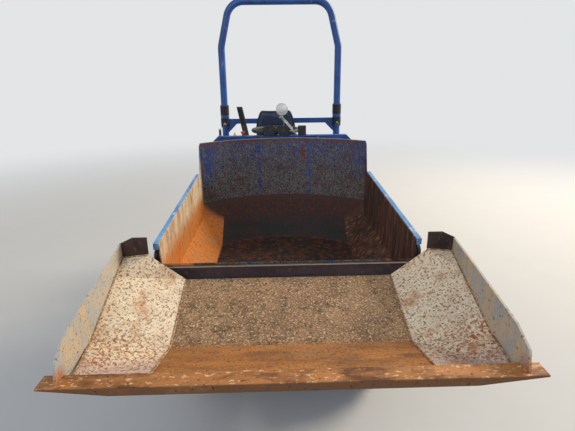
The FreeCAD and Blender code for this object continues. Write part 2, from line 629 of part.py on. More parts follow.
def axle(name, back, base):
    """A beam axle with a round drive case, its flanges and the pads that the rails sit on."""
    beam = rod(name + "Beam", "X", ("-track_half + hub_long", back, "tyre_radius"), "axle_radius",
               "2 * (track_half - hub_long)")
    case = rod(name + "Case", "Y", ("0", back + " - axle_box", "tyre_radius - 20"), "axle_box * 0.68",
               "2 * axle_box - 60")
    parts = [beam, case]
    for side in (-1, 1):
        low = "rail_half - rail_wide" if side > 0 else "-rail_half"
        parts.append(block(name + "Pad", (low, back + " - 55", "tyre_radius"),
                           ("(%s) + rail_wide" % low, back + " + 55", base)))
        start = "track_half - hub_long - 40" if side > 0 else "-track_half + hub_long + 10"
        parts.append(rod(name + "Flange", "X", (start, back, "tyre_radius"), "hub_radius", "30"))
        start = "track_half - hub_long - 10" if side > 0 else "-track_half"
        parts.append(rod(name + "Spindle", "X", (start, back, "tyre_radius"), "0.5 * hub_radius",
                         "hub_long + 10"))
    return fused(name, *parts)


piece("front_frame", front_frame())
piece("skip_posts", paired("SkipPosts", skip_post))
piece("arm_cheeks", paired("ArmCheeks", arm_cheek))
piece("front_axle", axle("FrontAxle", "front_axle_back", "rail_base"))
piece("rear_axle", axle("RearAxle", "rear_axle_back", "rear_rail_base"))


# Wheels

def tyre(name, side, back):
    """A tyre revolved from its section: flat tread, round shoulders and bulging sides."""
    body = doc.addObject("PartDesign::Body", name)
    half = "0.5 * tyre_wide"
    mid = minus(side, "track_half")
    section = [("%s - 0.42 * tyre_wide" % mid, "rim_radius"),
               ("%s - %s" % (mid, half), "0.72 * tyre_radius"),
               ("%s - 0.44 * tyre_wide" % mid, "0.95 * tyre_radius"),
               ("%s - 0.34 * tyre_wide" % mid, "tyre_radius"),
               ("%s + 0.34 * tyre_wide" % mid, "tyre_radius"),
               ("%s + 0.44 * tyre_wide" % mid, "0.95 * tyre_radius"),
               ("%s + %s" % (mid, half), "0.72 * tyre_radius"),
               ("%s + 0.42 * tyre_wide" % mid, "rim_radius")]
    sketch = outline(body, "flat", section)
    turn = body.newObject("PartDesign::Revolution", name + "_turn")
    turn.Profile = sketch
    turn.ReferenceAxis = (sketch, ["H_Axis"])
    turn.Angle = 360
    return bind(body, Placement__Base__y=back, Placement__Base__z="tyre_radius")


def wheel(name, side, back):
    """A rim: a drum as wide as the bead, a disc and the bore of the hub's spindle."""
    mid = minus(side, "track_half")
    drum = rod(name + "Drum", "X", ("%s - 0.42 * tyre_wide" % mid, back, "tyre_radius"), "rim_radius",
               "0.84 * tyre_wide")
    hollow_in = rod(name + "In", "X", ("%s - 0.42 * tyre_wide - 1" % mid, back, "tyre_radius"),
                    "rim_radius - 12",
                    "0.42 * tyre_wide + 1 - 0.5 * wheel_disc")
    hollow_out = rod(name + "Out", "X", ("%s + 0.5 * wheel_disc" % mid, back, "tyre_radius"),
                     "rim_radius - 12",
                     "0.42 * tyre_wide + 1 - 0.5 * wheel_disc")
    hub = rod(name + "Hub", "X", ("%s - hub_long + 8" % mid if side > 0 else "%s - 30" % mid, back,
                                  "tyre_radius"),
              "0.5 * hub_radius + 16", "hub_long + 22")
    bore = rod(name + "Bore", "X", ("%s - 150" % mid if side > 0 else "%s" % mid, back, "tyre_radius"),
               "0.5 * hub_radius + running_gap", "150")
    return bored(name, fused(name + "Blank", bored(name + "Shell", drum, hollow_in, hollow_out), hub), bore)


for axle_name, back in (("front", "front_axle_back"), ("rear", "rear_axle_back")):
    for side_name, side in (("left", -1), ("right", 1)):
        title = axle_name.capitalize() + side_name.capitalize()
        rolling = tyre(title + "Tyre", side, back)
        piece("%s_%s_tyre" % (axle_name, side_name), rolling)
        piece("%s_%s_rim" % (axle_name, side_name), wheel(title + "Rim", side, back))


# Rear chassis

def rear_frame():
    parts = []
    for side in (-1, 1):
        inner = "rear_rail_half - rear_rail_wide" if side > 0 else "-rear_rail_half"
        parts.append(block("RearRail", (inner, "rear_rail_front", "rear_rail_base"),
                           ("(%s) + rear_rail_wide" % inner, "tail_back - tail_deep",
                            "rear_rail_base + rear_rail_tall")))
    parts.append(block("NosePlate", ("-rear_rail_half", "rear_rail_front", "rear_rail_base"),
                       ("rear_rail_half", "rear_rail_front + 40", "rear_rail_base + rear_rail_tall")))
    parts.append(block("Tongue", ("-joint_radius", "joint_back", "joint_low + fork_plate + 20"),
                       ("joint_radius", "rear_rail_front + 10", "joint_high - fork_plate - 20")))
    parts.append(rod("JointBoss", "Z", ("0", "joint_back", "joint_low + fork_plate + 6"), "joint_radius",
                     "joint_high - joint_low - 2 * fork_plate - 12"))
    parts.append(rod("JointPin", "Z", ("0", "joint_back", "joint_low - 4"), "joint_pin",
                     "joint_high - joint_low + 8"))
    parts.append(block("SteerBracket", ("-steer_plane - 32", "steer_base_back - 30", "steer_height - 46"),
                       ("-rear_rail_half + 10", "steer_base_back + 30", "steer_height - 26")))
    parts.append(rod("SteerBasePin", "Z", ("-steer_plane", "steer_base_back", "steer_height - 26"),
                     "pin_radius", "48"))
    return fused("RearFrame", *parts)


def deck():
    corners = [("-deck_half", "deck_front"), ("deck_half", "deck_front"),
               ("deck_half", "rear_axle_back - tyre_radius - 25"),
               ("hood_half", "rear_axle_back - tyre_radius - 25"), ("hood_half", "deck_back"),
               ("-hood_half", "deck_back"),
               ("-hood_half", "rear_axle_back - tyre_radius - 25"),
               ("-deck_half", "rear_axle_back - tyre_radius - 25")]
    return plate("Deck", "flat", corners, "deck_height", "deck_thick")


def hood():
    outer = block("HoodOuter", ("-hood_half", "hood_front", "hood_base"),
                  ("hood_half", "hood_back", "hood_top"))
    inner = block("HoodInner", ("-hood_half + hood_wall", "hood_front + hood_wall", "hood_base - 1"),
                  ("hood_half - hood_wall", "hood_back - hood_wall", "hood_top - hood_wall"))
    return bored("Hood", outer, inner)


def panel():
    corners = [("-panel_half", "panel_top - panel_round"), ("-panel_half + panel_round", "panel_top"),
               ("panel_half - panel_round", "panel_top"), ("panel_half", "panel_top - panel_round"),
               ("panel_half", "panel_top - panel_tall"), ("-panel_half", "panel_top - panel_tall")]
    return plate("Panel", "facing", corners, "-(panel_front + panel_deep)", "panel_deep")


def tail_weight():
    corners = [("-tail_half", "tail_back - tail_deep"), ("tail_half", "tail_back - tail_deep"),
               ("tail_half", "tail_back - 0.5 * tail_deep"), ("tail_half - 60", "tail_back"),
               ("-tail_half + 60", "tail_back"), ("-tail_half", "tail_back - 0.5 * tail_deep")]
    return plate("TailWeight", "flat", corners, "tail_low", "tail_high - tail_low")


def tow_jaw():
    """A forked jaw under the tail with a bore for a drop-in pin."""
    jaw = block("JawBlock", ("-tow_half", "tail_back - tail_deep", "tail_low - tow_tall"),
                ("tow_half", "tail_back - 5", "tail_low"))
    slot = block("JawSlot", ("-tow_half - 1", "tail_back - tail_deep + 30",
                             "tail_low - tow_tall + tow_plate"),
                 ("tow_half + 1", "tail_back", "tail_low - tow_plate"))
    bore = rod("JawBore", "Z", ("0", "tail_back - 45", "tail_low - tow_tall - 1"), "tow_bore",
               "tow_tall + 1")
    return bored("TowJaw", jaw, slot, bore)


def fender(side):
    x = "hood_half" if side > 0 else "-hood_half - fender_wide - 20"
    ring = bored("FenderRing", rod("FenderOuter", "X", (x, "rear_axle_back", "tyre_radius"),
                                   "tyre_radius + fender_gap + fender_thick", "fender_wide + 20"),
                 rod("FenderInner", "X", (x, "rear_axle_back", "tyre_radius"), "tyre_radius + fender_gap",
                     "fender_wide + 20"),
                 block("FenderTrim", ("-1000", "rear_axle_back - 1000", "-200"),
                       ("1000", "rear_axle_back + 1000", "hood_base + 40")))
    return ring


def roll_bar():
    """The hoop above its hinges: two legs, sloping shoulders and a level top."""
    path = [("-bar_half", "bar_hinge"), ("-bar_half", "bar_shoulder"), ("-bar_shoulder_half", "bar_top"),
            ("bar_shoulder_half", "bar_top"), ("bar_half", "bar_shoulder"), ("bar_half", "bar_hinge")]
    places = [FreeCAD.Vector(size(x[1:]) * -1 if x.startswith("-") else size(x), size("bar_back"), size(z))
              for x, z in path]
    edges = []
    last = places[0]
    for before, corner, after in zip(places, places[1:], places[2:]):
        a = (before - corner).normalize()
        b = (after - corner).normalize()
        half = math.acos(max(-1.0, min(1.0, a.dot(b)))) / 2
        reach = size("bar_bend") / math.tan(half)
        start, end = corner + a * reach, corner + b * reach
        middle = corner + (a + b).normalize() * (size("bar_bend") / math.sin(half) - size("bar_bend"))
        edges.append(Part.LineSegment(last, start).toShape())
        edges.append(Part.Arc(start, middle, end).toShape())
        last = end
    edges.append(Part.LineSegment(last, places[-1]).toShape())
    wire = Part.Wire(edges)
    tubes = []
    for radius in (size("bar_radius"), size("bar_radius") - size("bar_wall")):
        ring = Part.Wire([Part.makeCircle(radius, places[0], FreeCAD.Vector(0, 0, 1))])
        tubes.append(wire.makePipeShell([ring], True, True))
    tube = doc.addObject("Part::Feature", "RollBarTube")
    tube.Shape = tubes[0].cut(tubes[1])
    parts = [tube]
    for side in (-1, 1):
        x = minus(side, "bar_half")
        parts.append(bored("UpperSleeve", rod("UpperSleeveOuter", "Z", (x, "bar_back", "bar_hinge"),
                                              "sleeve_radius",
                                              "0.5 * sleeve_long"),
                           rod("UpperSleeveInner", "Z", (x, "bar_back", "bar_hinge - 1"), "bar_radius - 1",
                               "sleeve_long")))
        parts.append(bored("Knuckle",
                           fused("KnuckleBlank",
                                 block("KnuckleWeb",
                                       (x + " - 10", "bar_back + bar_radius + 2", "bar_hinge + 1"),
                                       (x + " + 10", "bar_back + fold_pin", "bar_hinge + 14")),
                                 rod("KnuckleRing", "X", (x + " - 10", "bar_back + fold_pin", "bar_hinge"),
                                     "14", "20")),
                           rod("KnuckleBore", "X", (x + " - 11", "bar_back + fold_pin", "bar_hinge"),
                               "8 + running_gap", "22")))
    return fused("RollBar", *parts)


def bar_legs():
    """The fixed part: foot beam, lower legs, hinge sleeves, cross brace and gussets."""
    parts = [block("FootBeam", ("-bar_half - 35", "bar_back - 35", "hood_top"),
                   ("bar_half + 35", "bar_back + 35", "hood_top + foot_tall")),
             block("Brace", ("-bar_half", "bar_back - 0.5 * brace_thick",
                             "brace_height - 0.5 * brace_tall"),
                   ("bar_half", "bar_back + 0.5 * brace_thick", "brace_height + 0.5 * brace_tall"))]
    for side in (-1, 1):
        x = minus(side, "bar_half")
        parts.append(rod("Leg", "Z", (x, "bar_back", "hood_top"), "bar_radius", "bar_hinge - hood_top"))
        parts.append(rod("Sleeve", "Z", (x, "bar_back", "bar_hinge - 0.5 * sleeve_long"), "sleeve_radius",
                         "0.5 * sleeve_long"))
        for ear in (" - 24", " + 16"):
            parts.append(fused("Ear",
                               block("EarWeb", (x + ear, "bar_back + bar_radius - 5", "bar_hinge - 14"),
                                     (x + ear + " + 8", "bar_back + fold_pin", "bar_hinge - 1")),
                               rod("EarRing", "X", (x + ear, "bar_back + fold_pin", "bar_hinge"), "14",
                                   "8")))
        parts.append(rod("FoldPin", "X", (x + " - 24", "bar_back + fold_pin", "bar_hinge"), "8", "48"))
        inner = minus(side, "bar_half - gusset")
        parts.append(plate("Gusset", "facing",
                           [(x, "brace_height"), (inner, "brace_height"), (x, "brace_height - gusset")],
                           "-(bar_back + 0.5 * brace_thick)", "brace_thick"))
    return fused("BarLegs", *parts)


def steering():
    return rod("Column", "Z", ("driver_shift", "wheel_centre_back", "deck_height + deck_thick"),
               "column_radius",
               "wheel_centre_height - deck_height - deck_thick")


def seat_back():
    corners = []
    for side, order in ((-1, 1), (1, -1)):
        edge = [("back_rest_half", "hood_top + seat_frame"), ("back_rest_half", "back_rest_top - 230"),
                ("0.8 * back_rest_half", "back_rest_top - 25"),
                ("0.66 * back_rest_half", "back_rest_top")][::order]
        corners += [("driver_shift + " + minus(side, x), z) for x, z in edge]
    return plate("SeatBack", "facing", corners, "-(back_rest_back + back_rest_thick)", "back_rest_thick")


def control_lever():
    """A slanted lever that stands on the deck beside the steering column."""
    corners = [("lever_foot - 0.5 * lever_wide", "deck_height + deck_thick"),
               ("lever_foot + 0.5 * lever_wide", "deck_height + deck_thick"),
               ("lever_head + 0.5 * lever_wide", "lever_top"),
               ("lever_head - 0.5 * lever_wide", "lever_top")]
    return plate("Lever", "facing", corners, "-(lever_back + lever_thick)", "lever_thick")


def work_lamp():
    """A round lamp on a thin bent stalk that rises from the panel."""
    middle = "panel_front + 0.5 * panel_deep"
    stalk = plate("Stalk", "facing",
                  [("stalk_foot - 6", "panel_top"), ("stalk_foot + 6", "panel_top"),
                   ("knuckle_across + 8", "panel_top + knuckle_rise + 6"),
                   ("lamp_across + 6", "panel_top + lamp_rise"),
                   ("lamp_across - 6", "panel_top + lamp_rise"),
                   ("knuckle_across - 6", "panel_top + knuckle_rise")],
                  "-(%s + 6)" % middle, "12")
    knuckle = rod("LampKnuckle", "Y", ("knuckle_across", middle + " - 10", "panel_top + knuckle_rise"),
                  "14", "20")
    lamp = rod("Lamp", "Y", ("lamp_across", middle + " - 22", "panel_top + lamp_rise"), "lamp_radius", "36")
    return fused("WorkLamp", stalk, knuckle, lamp)


def panel_fittings():
    """A small box and a short post on top of the panel."""
    return fused("PanelFittings",
                 block("PanelBox", ("box_across", "panel_front + 12", "panel_top"),
                       ("box_across + box_wide", "panel_front + 52", "panel_top + box_tall")),
                 rod("PanelPost", "Z", ("post_across", "panel_front + 0.5 * panel_deep", "panel_top"), "9",
                     "post_tall"))


def steering_wheel():
    grip = doc.addObject("Part::Torus", "Grip")
    bind(grip, Radius1="steering_radius", Radius2="steering_grip", Placement__Base__x="driver_shift",
         Placement__Base__y="wheel_centre_back",
         Placement__Base__z="wheel_centre_height + 60")
    spoke = block("Spoke", ("driver_shift - steering_radius", "wheel_centre_back - 10",
                            "wheel_centre_height + 55"),
                  ("driver_shift + steering_radius", "wheel_centre_back + 10", "wheel_centre_height + 65"))
    post = rod("WheelPost", "Z", ("driver_shift", "wheel_centre_back", "wheel_centre_height"),
               "0.7 * column_radius", "60")
    return fused("SteeringWheel", grip, spoke, post)


piece("rear_frame", rear_frame())
piece("deck", deck())
piece("console", block("Console", ("-console_half", "panel_front", "deck_height + deck_thick"),
                       ("console_half", "panel_front + console_deep", "panel_top - panel_tall")))
piece("dash_panel", panel())
piece("engine_block", block("EngineBlock", ("-engine_half", "engine_front", "engine_base"),
                            ("engine_half", "engine_front + engine_long", "engine_base + engine_tall")))
piece("hood", hood())
piece("tail_weight", tail_weight())
piece("tow_jaw", tow_jaw())
piece("fenders", paired("Fenders", fender))
piece("seat_frame", block("SeatFrame", ("driver_shift - seat_half + 20",
                                        "seat_middle - 0.5 * seat_long + 20", "hood_top"),
                          ("driver_shift + seat_half - 20", "seat_middle + 0.5 * seat_long - 20",
                           "hood_top + seat_frame")))
piece("seat_cushion", block("SeatCushion", ("driver_shift - seat_half", "seat_middle - 0.5 * seat_long",
                                            "hood_top + seat_frame"),
                            ("driver_shift + seat_half", "back_rest_back - 6",
                             "hood_top + seat_frame + cushion_tall")))
piece("seat_back", seat_back())
piece("control_lever", control_lever())
piece("work_lamp", work_lamp())
piece("panel_fittings", panel_fittings())
piece("steering_column", steering())
piece("steering_wheel", steering_wheel())
piece("roll_bar", roll_bar())
piece("bar_legs", bar_legs())
piece("exhaust", rod("Exhaust", "Z", ("hood_half - 50", "hood_back - 60", "hood_top"),
                      "exhaust_radius", "exhaust_tall"))


# Placing, checking and writing

for thing in pieces:
    if thing.TypeId == "Part::Feature":
        thing.Placement = FreeCAD.Placement(FreeCAD.Vector(0, -size("tail_back") / 2, 0),
                                            FreeCAD.Rotation())
    elif thing.Name.endswith("Tyre"):
        for prop, text in thing.ExpressionEngine:
            if prop.endswith("Base.y"):
                thing.setExpression(prop, text + " - Dims.tail_back / 2")
    elif thing.TypeId in ("Part::Box", "Part::Cylinder", "Part::Torus"):
        for prop, text in thing.ExpressionEngine:
            if prop.endswith("Base.y"):
                thing.setExpression(prop, "(" + text + ") - Dims.tail_back / 2")
    else:
        bind(thing, Placement__Base__y="-tail_back / 2")
doc.recompute()

for thing in doc.Objects:
    if "Invalid" in thing.State or "Error" in thing.State:
        raise RuntimeError("%s failed: %s" % (thing.Name, thing.State))
os.makedirs("parts", exist_ok=True)
for thing in pieces:
    shape = thing.Shape
    if shape.isNull() or not shape.isValid() or not shape.Solids:
        raise RuntimeError("%s has no good shape" % thing.Label)
    shape.exportStep("parts/%s.step" % thing.Label)
    box = shape.BoundBox
    print("%-18s solids %d  volume %.0f cm3  x %.0f..%.0f  y %.0f..%.0f  z %.0f..%.0f"
          % (thing.Label, len(shape.Solids), shape.Volume / 1000, box.XMin, box.XMax, box.YMin, box.YMax,
             box.ZMin, box.ZMax))
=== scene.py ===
# %% [markdown]
# A site dumper with a self-loading shovel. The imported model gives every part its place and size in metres.
# This notebook dresses it: the camera first, then the finishes of worn steel and the light, and last the
# tyres, the seat and the small fittings that plain solids can't show.

import bmesh
import bpy
import math
from mathutils import Matrix, Vector


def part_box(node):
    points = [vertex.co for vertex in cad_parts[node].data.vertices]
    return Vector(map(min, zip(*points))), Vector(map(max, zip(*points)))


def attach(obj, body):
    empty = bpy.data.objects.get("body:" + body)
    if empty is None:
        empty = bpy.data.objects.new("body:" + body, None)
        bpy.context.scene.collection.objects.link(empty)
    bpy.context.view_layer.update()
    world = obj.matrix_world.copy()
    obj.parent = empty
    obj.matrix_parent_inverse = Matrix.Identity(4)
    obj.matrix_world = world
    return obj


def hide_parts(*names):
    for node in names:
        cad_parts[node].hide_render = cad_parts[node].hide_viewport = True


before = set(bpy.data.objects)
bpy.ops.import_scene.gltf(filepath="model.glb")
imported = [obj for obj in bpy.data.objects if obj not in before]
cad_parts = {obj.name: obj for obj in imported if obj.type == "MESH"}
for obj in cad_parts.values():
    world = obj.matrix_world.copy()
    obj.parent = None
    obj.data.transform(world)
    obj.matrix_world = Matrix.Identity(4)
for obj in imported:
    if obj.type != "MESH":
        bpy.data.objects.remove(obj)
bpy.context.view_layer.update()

# %% [markdown]
# The photograph was taken by a person who stood a metre in front of the shovel and held the camera at eye
# height, tilted 18 degrees down. The matrix is built from the three directions of such a camera, because
# yaw, pitch and a slight roll are easier to read that way than as one rotation.

# %% Camera
EYE = Vector((-0.042, -2.767, 1.8))
YAW, PITCH, ROLL = math.radians(1.29), math.radians(18.0), math.radians(-0.71)
ahead = Vector((math.sin(YAW) * math.cos(PITCH), math.cos(YAW) * math.cos(PITCH), -math.sin(PITCH)))
right = Vector((math.cos(YAW), -math.sin(YAW), 0))
up = right.cross(ahead)
turned_right = math.cos(ROLL) * right + math.sin(ROLL) * up
turned_up = math.cos(ROLL) * up - math.sin(ROLL) * right

camera_data = bpy.data.cameras.new("phone_camera")
camera_data.sensor_width = 36
camera_data.lens = 26.86
camera = bpy.data.objects.new("phone_camera", camera_data)
bpy.context.collection.objects.link(camera)
turn = Matrix((turned_right, turned_up, -ahead)).transposed().to_4x4()
camera.matrix_world = Matrix.Translation(EYE) @ turn
bpy.context.scene.camera = camera
bpy.context.scene.view_settings.view_transform = "Standard"
print("camera at", tuple(EYE))

# %% [markdown]
# Colours are written as sRGB hex values, as a paint chart gives them, and one function turns them into the
# linear values that Blender reckons with. Another adds any shader node with its settings and links, so that
# each finish below reads as a short list, and the last one makes an object of a bmesh.

# %% Colour, node and object helpers
def paint(code):
    """Linear colour from an sRGB hex value."""
    channels = [int(code[i:i + 2], 16) / 255 for i in (1, 3, 5)]
    return [c / 12.92 if c <= 0.04045 else ((c + 0.055) / 1.055) ** 2.4 for c in channels] + [1.0]


def feed(tree, node, inputs):
    """Set a node's inputs, each to a value or by a link from another node's socket."""
    for key, value in inputs.items():
        if isinstance(value, bpy.types.NodeSocket):
            tree.links.new(value, node.inputs[key])
        else:
            node.inputs[key].default_value = value


def add(tree, kind, inputs=None, **settings):
    """Add a node with its settings and inputs."""
    node = tree.nodes.new(kind)
    for name, value in settings.items():
        setattr(node, name, value)
    feed(tree, node, inputs or {})
    return node


def embody(name, shape):
    """Turn a bmesh into an object at the origin."""
    mesh = bpy.data.meshes.new(name)
    shape.to_mesh(mesh)
    shape.free()
    piece = bpy.data.objects.new(name, mesh)
    bpy.context.collection.objects.link(piece)
    return piece


# %% [markdown]
# Old steel on a building site is a stack of layers: what is left of the paint, then dust, rust and bare
# worn metal on top of it. Each layer here is one noise pattern whose patches have a real size in
# millimetres, and which covers a stated share of the surface. A layer can be kept to regions of the
# machine, such as the lower half of the skip, because rain and rubble don't wear a wall evenly.

# %% Layered steel
OUT = 3
SHADE_PATCH, NOISE_SPREAD = 260, 0.42
# Sockets of a Mix node
FLOAT_A, FLOAT_B, COLOUR_A, COLOUR_B, COLOUR_OUT = 2, 3, 6, 7, 2


def layered(name, base, layers=(), roughness=0.6, metallic=0.0, grain=4.0, relief=0.4, vary=0.18,
            heart=None):
    """A weathered finish.

    Each layer is (colour, patch in mm, cover, edge, roughness, stretch, regions...); all after the
    roughness may be left out. A region is (axis, start, end) in metres: the layer fades in from the start
    to the end, and where a layer has several regions, it shows only where they all let it. The axis OUT
    counts how far a face looks away from the heart, a point inside the hollow of a skip or shovel. Grain
    and relief are the width and height of the fine pits in mm.
    """
    material = bpy.data.materials.new(name)
    material.use_nodes = True
    tree = material.node_tree
    shader = tree.nodes["Principled BSDF"]
    place = add(tree, "ShaderNodeTexCoord").outputs["Object"]
    axes = list(add(tree, "ShaderNodeSeparateXYZ", {0: place}).outputs)
    if heart:
        away = add(tree, "ShaderNodeVectorMath", {0: place, 1: heart}, operation="SUBTRACT")
        facing = add(tree, "ShaderNodeTexCoord").outputs["Normal"]
        outward = add(tree, "ShaderNodeVectorMath", {0: away.outputs[0], 1: facing},
                      operation="DOT_PRODUCT")
        axes.append(outward.outputs["Value"])
    shade = add(tree, "ShaderNodeTexNoise", {"Vector": place, "Scale": 1000 / SHADE_PATCH, "Detail": 5})
    bright = add(tree, "ShaderNodeMapRange", {"Value": shade.outputs[0], "From Min": 0.3, "From Max": 0.7,
                                              "To Min": 1 - vary, "To Max": 1 + vary})
    tinted = add(tree, "ShaderNodeVectorMath", {0: paint(base)[:3], "Scale": bright.outputs[0]},
                 operation="SCALE")
    colour = tinted.outputs[0]
    rough = roughness
    for code, patch, cover, edge, layer_rough, *rest in layers:
        stretch, regions = (rest[0], rest[1:]) if rest else ((1, 1, 1), ())
        scaled = add(tree, "ShaderNodeMapping", {"Vector": place, "Scale": stretch}).outputs[0]
        noise = add(tree, "ShaderNodeTexNoise", {"Vector": scaled, "Scale": 1000 / patch, "Detail": 7,
                                                 "Roughness": 0.62})
        middle = 0.5 + (0.5 - cover) * NOISE_SPREAD
        mask = add(tree, "ShaderNodeMapRange", {"Value": noise.outputs[0], "From Min": middle - edge,
                                                "From Max": middle + edge}).outputs[0]
        for axis, start, end in regions:
            fade = add(tree, "ShaderNodeMapRange", {
                "Value": axes[axis], "From Min": min(start, end), "From Max": max(start, end),
                "To Min": float(start > end), "To Max": float(start < end)},
                interpolation_type="SMOOTHSTEP")
            both = add(tree, "ShaderNodeMath", {0: mask, 1: fade.outputs[0]}, operation="MULTIPLY")
            mask = both.outputs[0]
        mixed = add(tree, "ShaderNodeMix", {0: mask, COLOUR_A: colour, COLOUR_B: paint(code)},
                    data_type="RGBA")
        colour = mixed.outputs[COLOUR_OUT]
        rough = add(tree, "ShaderNodeMix", {0: mask, FLOAT_A: rough, FLOAT_B: layer_rough}).outputs[0]
    pits = add(tree, "ShaderNodeTexNoise", {"Vector": place, "Scale": 1000 / grain, "Detail": 6,
                                            "Roughness": 0.7})
    bump = add(tree, "ShaderNodeBump", {"Height": pits.outputs[0], "Strength": 0.6,
                                        "Distance": relief / 1000})
    feed(tree, shader, {"Base Color": colour, "Roughness": rough, "Metallic": metallic,
                        "Normal": bump.outputs[0]})
    return material


# %% [markdown]
# The shovel scrapes earth all day, so its paint is gone: a skin of dried tan clay with fine dark specks of
# scale lies on it, and the fold, where water stands, is orange. The wings are paler than the floor, with
# rust freckles in a slanted band and a pink bloom next to the blade. The upright panels are a cool grey
# under the dust. EVEN leaves a pattern unstretched, and UNDER keeps it to faces that look out of the bowl.

# %% Shovel finishes
EVEN = (1, 1, 1)
BOWL = (0, -1.25, 1.6)
UNDER = (OUT, 0.45, 0.55)
UNDERSIDE = [
    ("#27405f", 300, 1.30, 0.10, 0.60, EVEN, UNDER),
    ("#54402f", 70, 0.50, 0.10, 0.75, EVEN, UNDER),
    ("#8a5a35", 24, 0.26, 0.06, 0.80, EVEN, UNDER)]
clay_floor = layered("clay-caked steel plate", "#947050", [
    ("#b08c64", 120, 0.42, 0.12, 0.80),
    ("#6e5135", 60, 0.38, 0.10, 0.75),
    ("#d4b892", 8, 0.33, 0.04, 0.85),
    ("#a06428", 240, 0.98, 0.30, 0.75, (0.4, 1, 1), (1, -1.335, -1.395)),
    ("#c07c34", 110, 0.45, 0.14, 0.75, (0.3, 1, 1), (1, -1.36, -1.42)),
    ("#7a4a20", 60, 0.34, 0.10, 0.70, (0.4, 1, 1), (1, -1.36, -1.42)),
    ("#463222", 9, 0.30, 0.04, 0.65),
    ("#5e4028", 5, 0.26, 0.05, 0.65),
    ("#3c2a1c", 30, 0.12, 0.04, 0.65, EVEN, (1, -1.40, -1.30)),
    *UNDERSIDE], roughness=0.78, grain=5, relief=1.2, heart=BOWL)
clay_wing = layered("clay-dusted steel wing", "#dcc6a6", [
    ("#eddcbe", 60, 0.45, 0.12, 0.85),
    ("#c2a9a0", 130, 0.85, 0.20, 0.80, EVEN, (1, -1.46, -1.57)),
    ("#fbf1dc", 10, 0.40, 0.05, 0.88),
    ("#8d6e50", 10, 0.36, 0.04, 0.75),
    ("#a05a24", 12, 0.40, 0.06, 0.75, EVEN, (1, -1.30, -1.42), (1, -1.62, -1.54)),
    ("#b87a48", 110, 0.22, 0.07, 0.80),
    ("#4c3828", 7, 0.22, 0.04, 0.65),
    *UNDERSIDE], roughness=0.82, grain=4, relief=1.2, heart=BOWL)
side_plate = layered("dusty painted side plate", "#bdb3a2", [
    ("#a9b3b7", 90, 0.45, 0.12, 0.70, (1, 1, 2)),
    ("#d3b78e", 50, 0.38, 0.09, 0.80, (1, 1.6, 0.4)),
    ("#a8622c", 60, 0.95, 0.22, 0.80, EVEN, (1, -1.60, -1.67), (2, 0.99, 0.93)),
    ("#7a4a2c", 14, 0.18, 0.04, 0.75),
    ("#4c3828", 7, 0.16, 0.04, 0.70),
    ("#1d4a86", 200, 1.30, 0.10, 0.50, EVEN, UNDER),
    ("#8f8d84", 60, 0.30, 0.08, 0.75, EVEN, UNDER),
    ("#6b3f26", 26, 0.30, 0.06, 0.80, EVEN, UNDER)], roughness=0.72, grain=5, relief=0.5, heart=BOWL)
edge_steel = layered("rusted cutting edge with painted shade on its front face", "#96602e", [
    ("#b87a42", 90, 0.42, 0.14, 0.60, (0.35, 1, 1)),
    ("#e4bd92", 10, 0.26, 0.03, 0.50, (0.5, 1, 1)),
    ("#64391a", 60, 0.36, 0.08, 0.70, (0.4, 1, 1)),
    # The dark brown below the top face is painted shade on the blade's front face.
    ("#6b472a", 70, 0.95, 0.18, 0.72, (0.5, 1, 1), (2, 0.9265, 0.922)),
    ("#2f1c10", 12, 0.18, 0.04, 0.75)], roughness=0.60, metallic=0.15, grain=5, relief=0.9)
# On the ears this dark colour is painted shade; the brackets and lugs are dark mill-scaled steel.
dark_scale_and_shade = layered("mill-scaled dark steel, painted shade on the ears", "#2e211c", [
    ("#45302a", 60, 0.42, 0.10, 0.70),
    ("#6b4630", 25, 0.16, 0.05, 0.75),
    ("#191210", 40, 0.25, 0.06, 0.60)], roughness=0.62, metallic=0.2, grain=5, relief=0.7)
# The dark front face of the bar is painted shade, and the pale strip on its top is partly bare worn steel,
# partly a painted highlight.
lip_steel_and_shade = layered("worn front bar of the skip with painted shade and highlight", "#33262a", [
    ("#453538", 70, 0.45, 0.10, 0.60, (0.4, 1, 1)),
    ("#5f4a40", 18, 0.18, 0.04, 0.65),
    ("#d8c9b4", 60, 1.10, 0.20, 0.35, (0.4, 1, 1), (2, 0.972, 0.975))], roughness=0.55, metallic=0.3,
    grain=5, relief=0.5)
print("shovel finishes done")
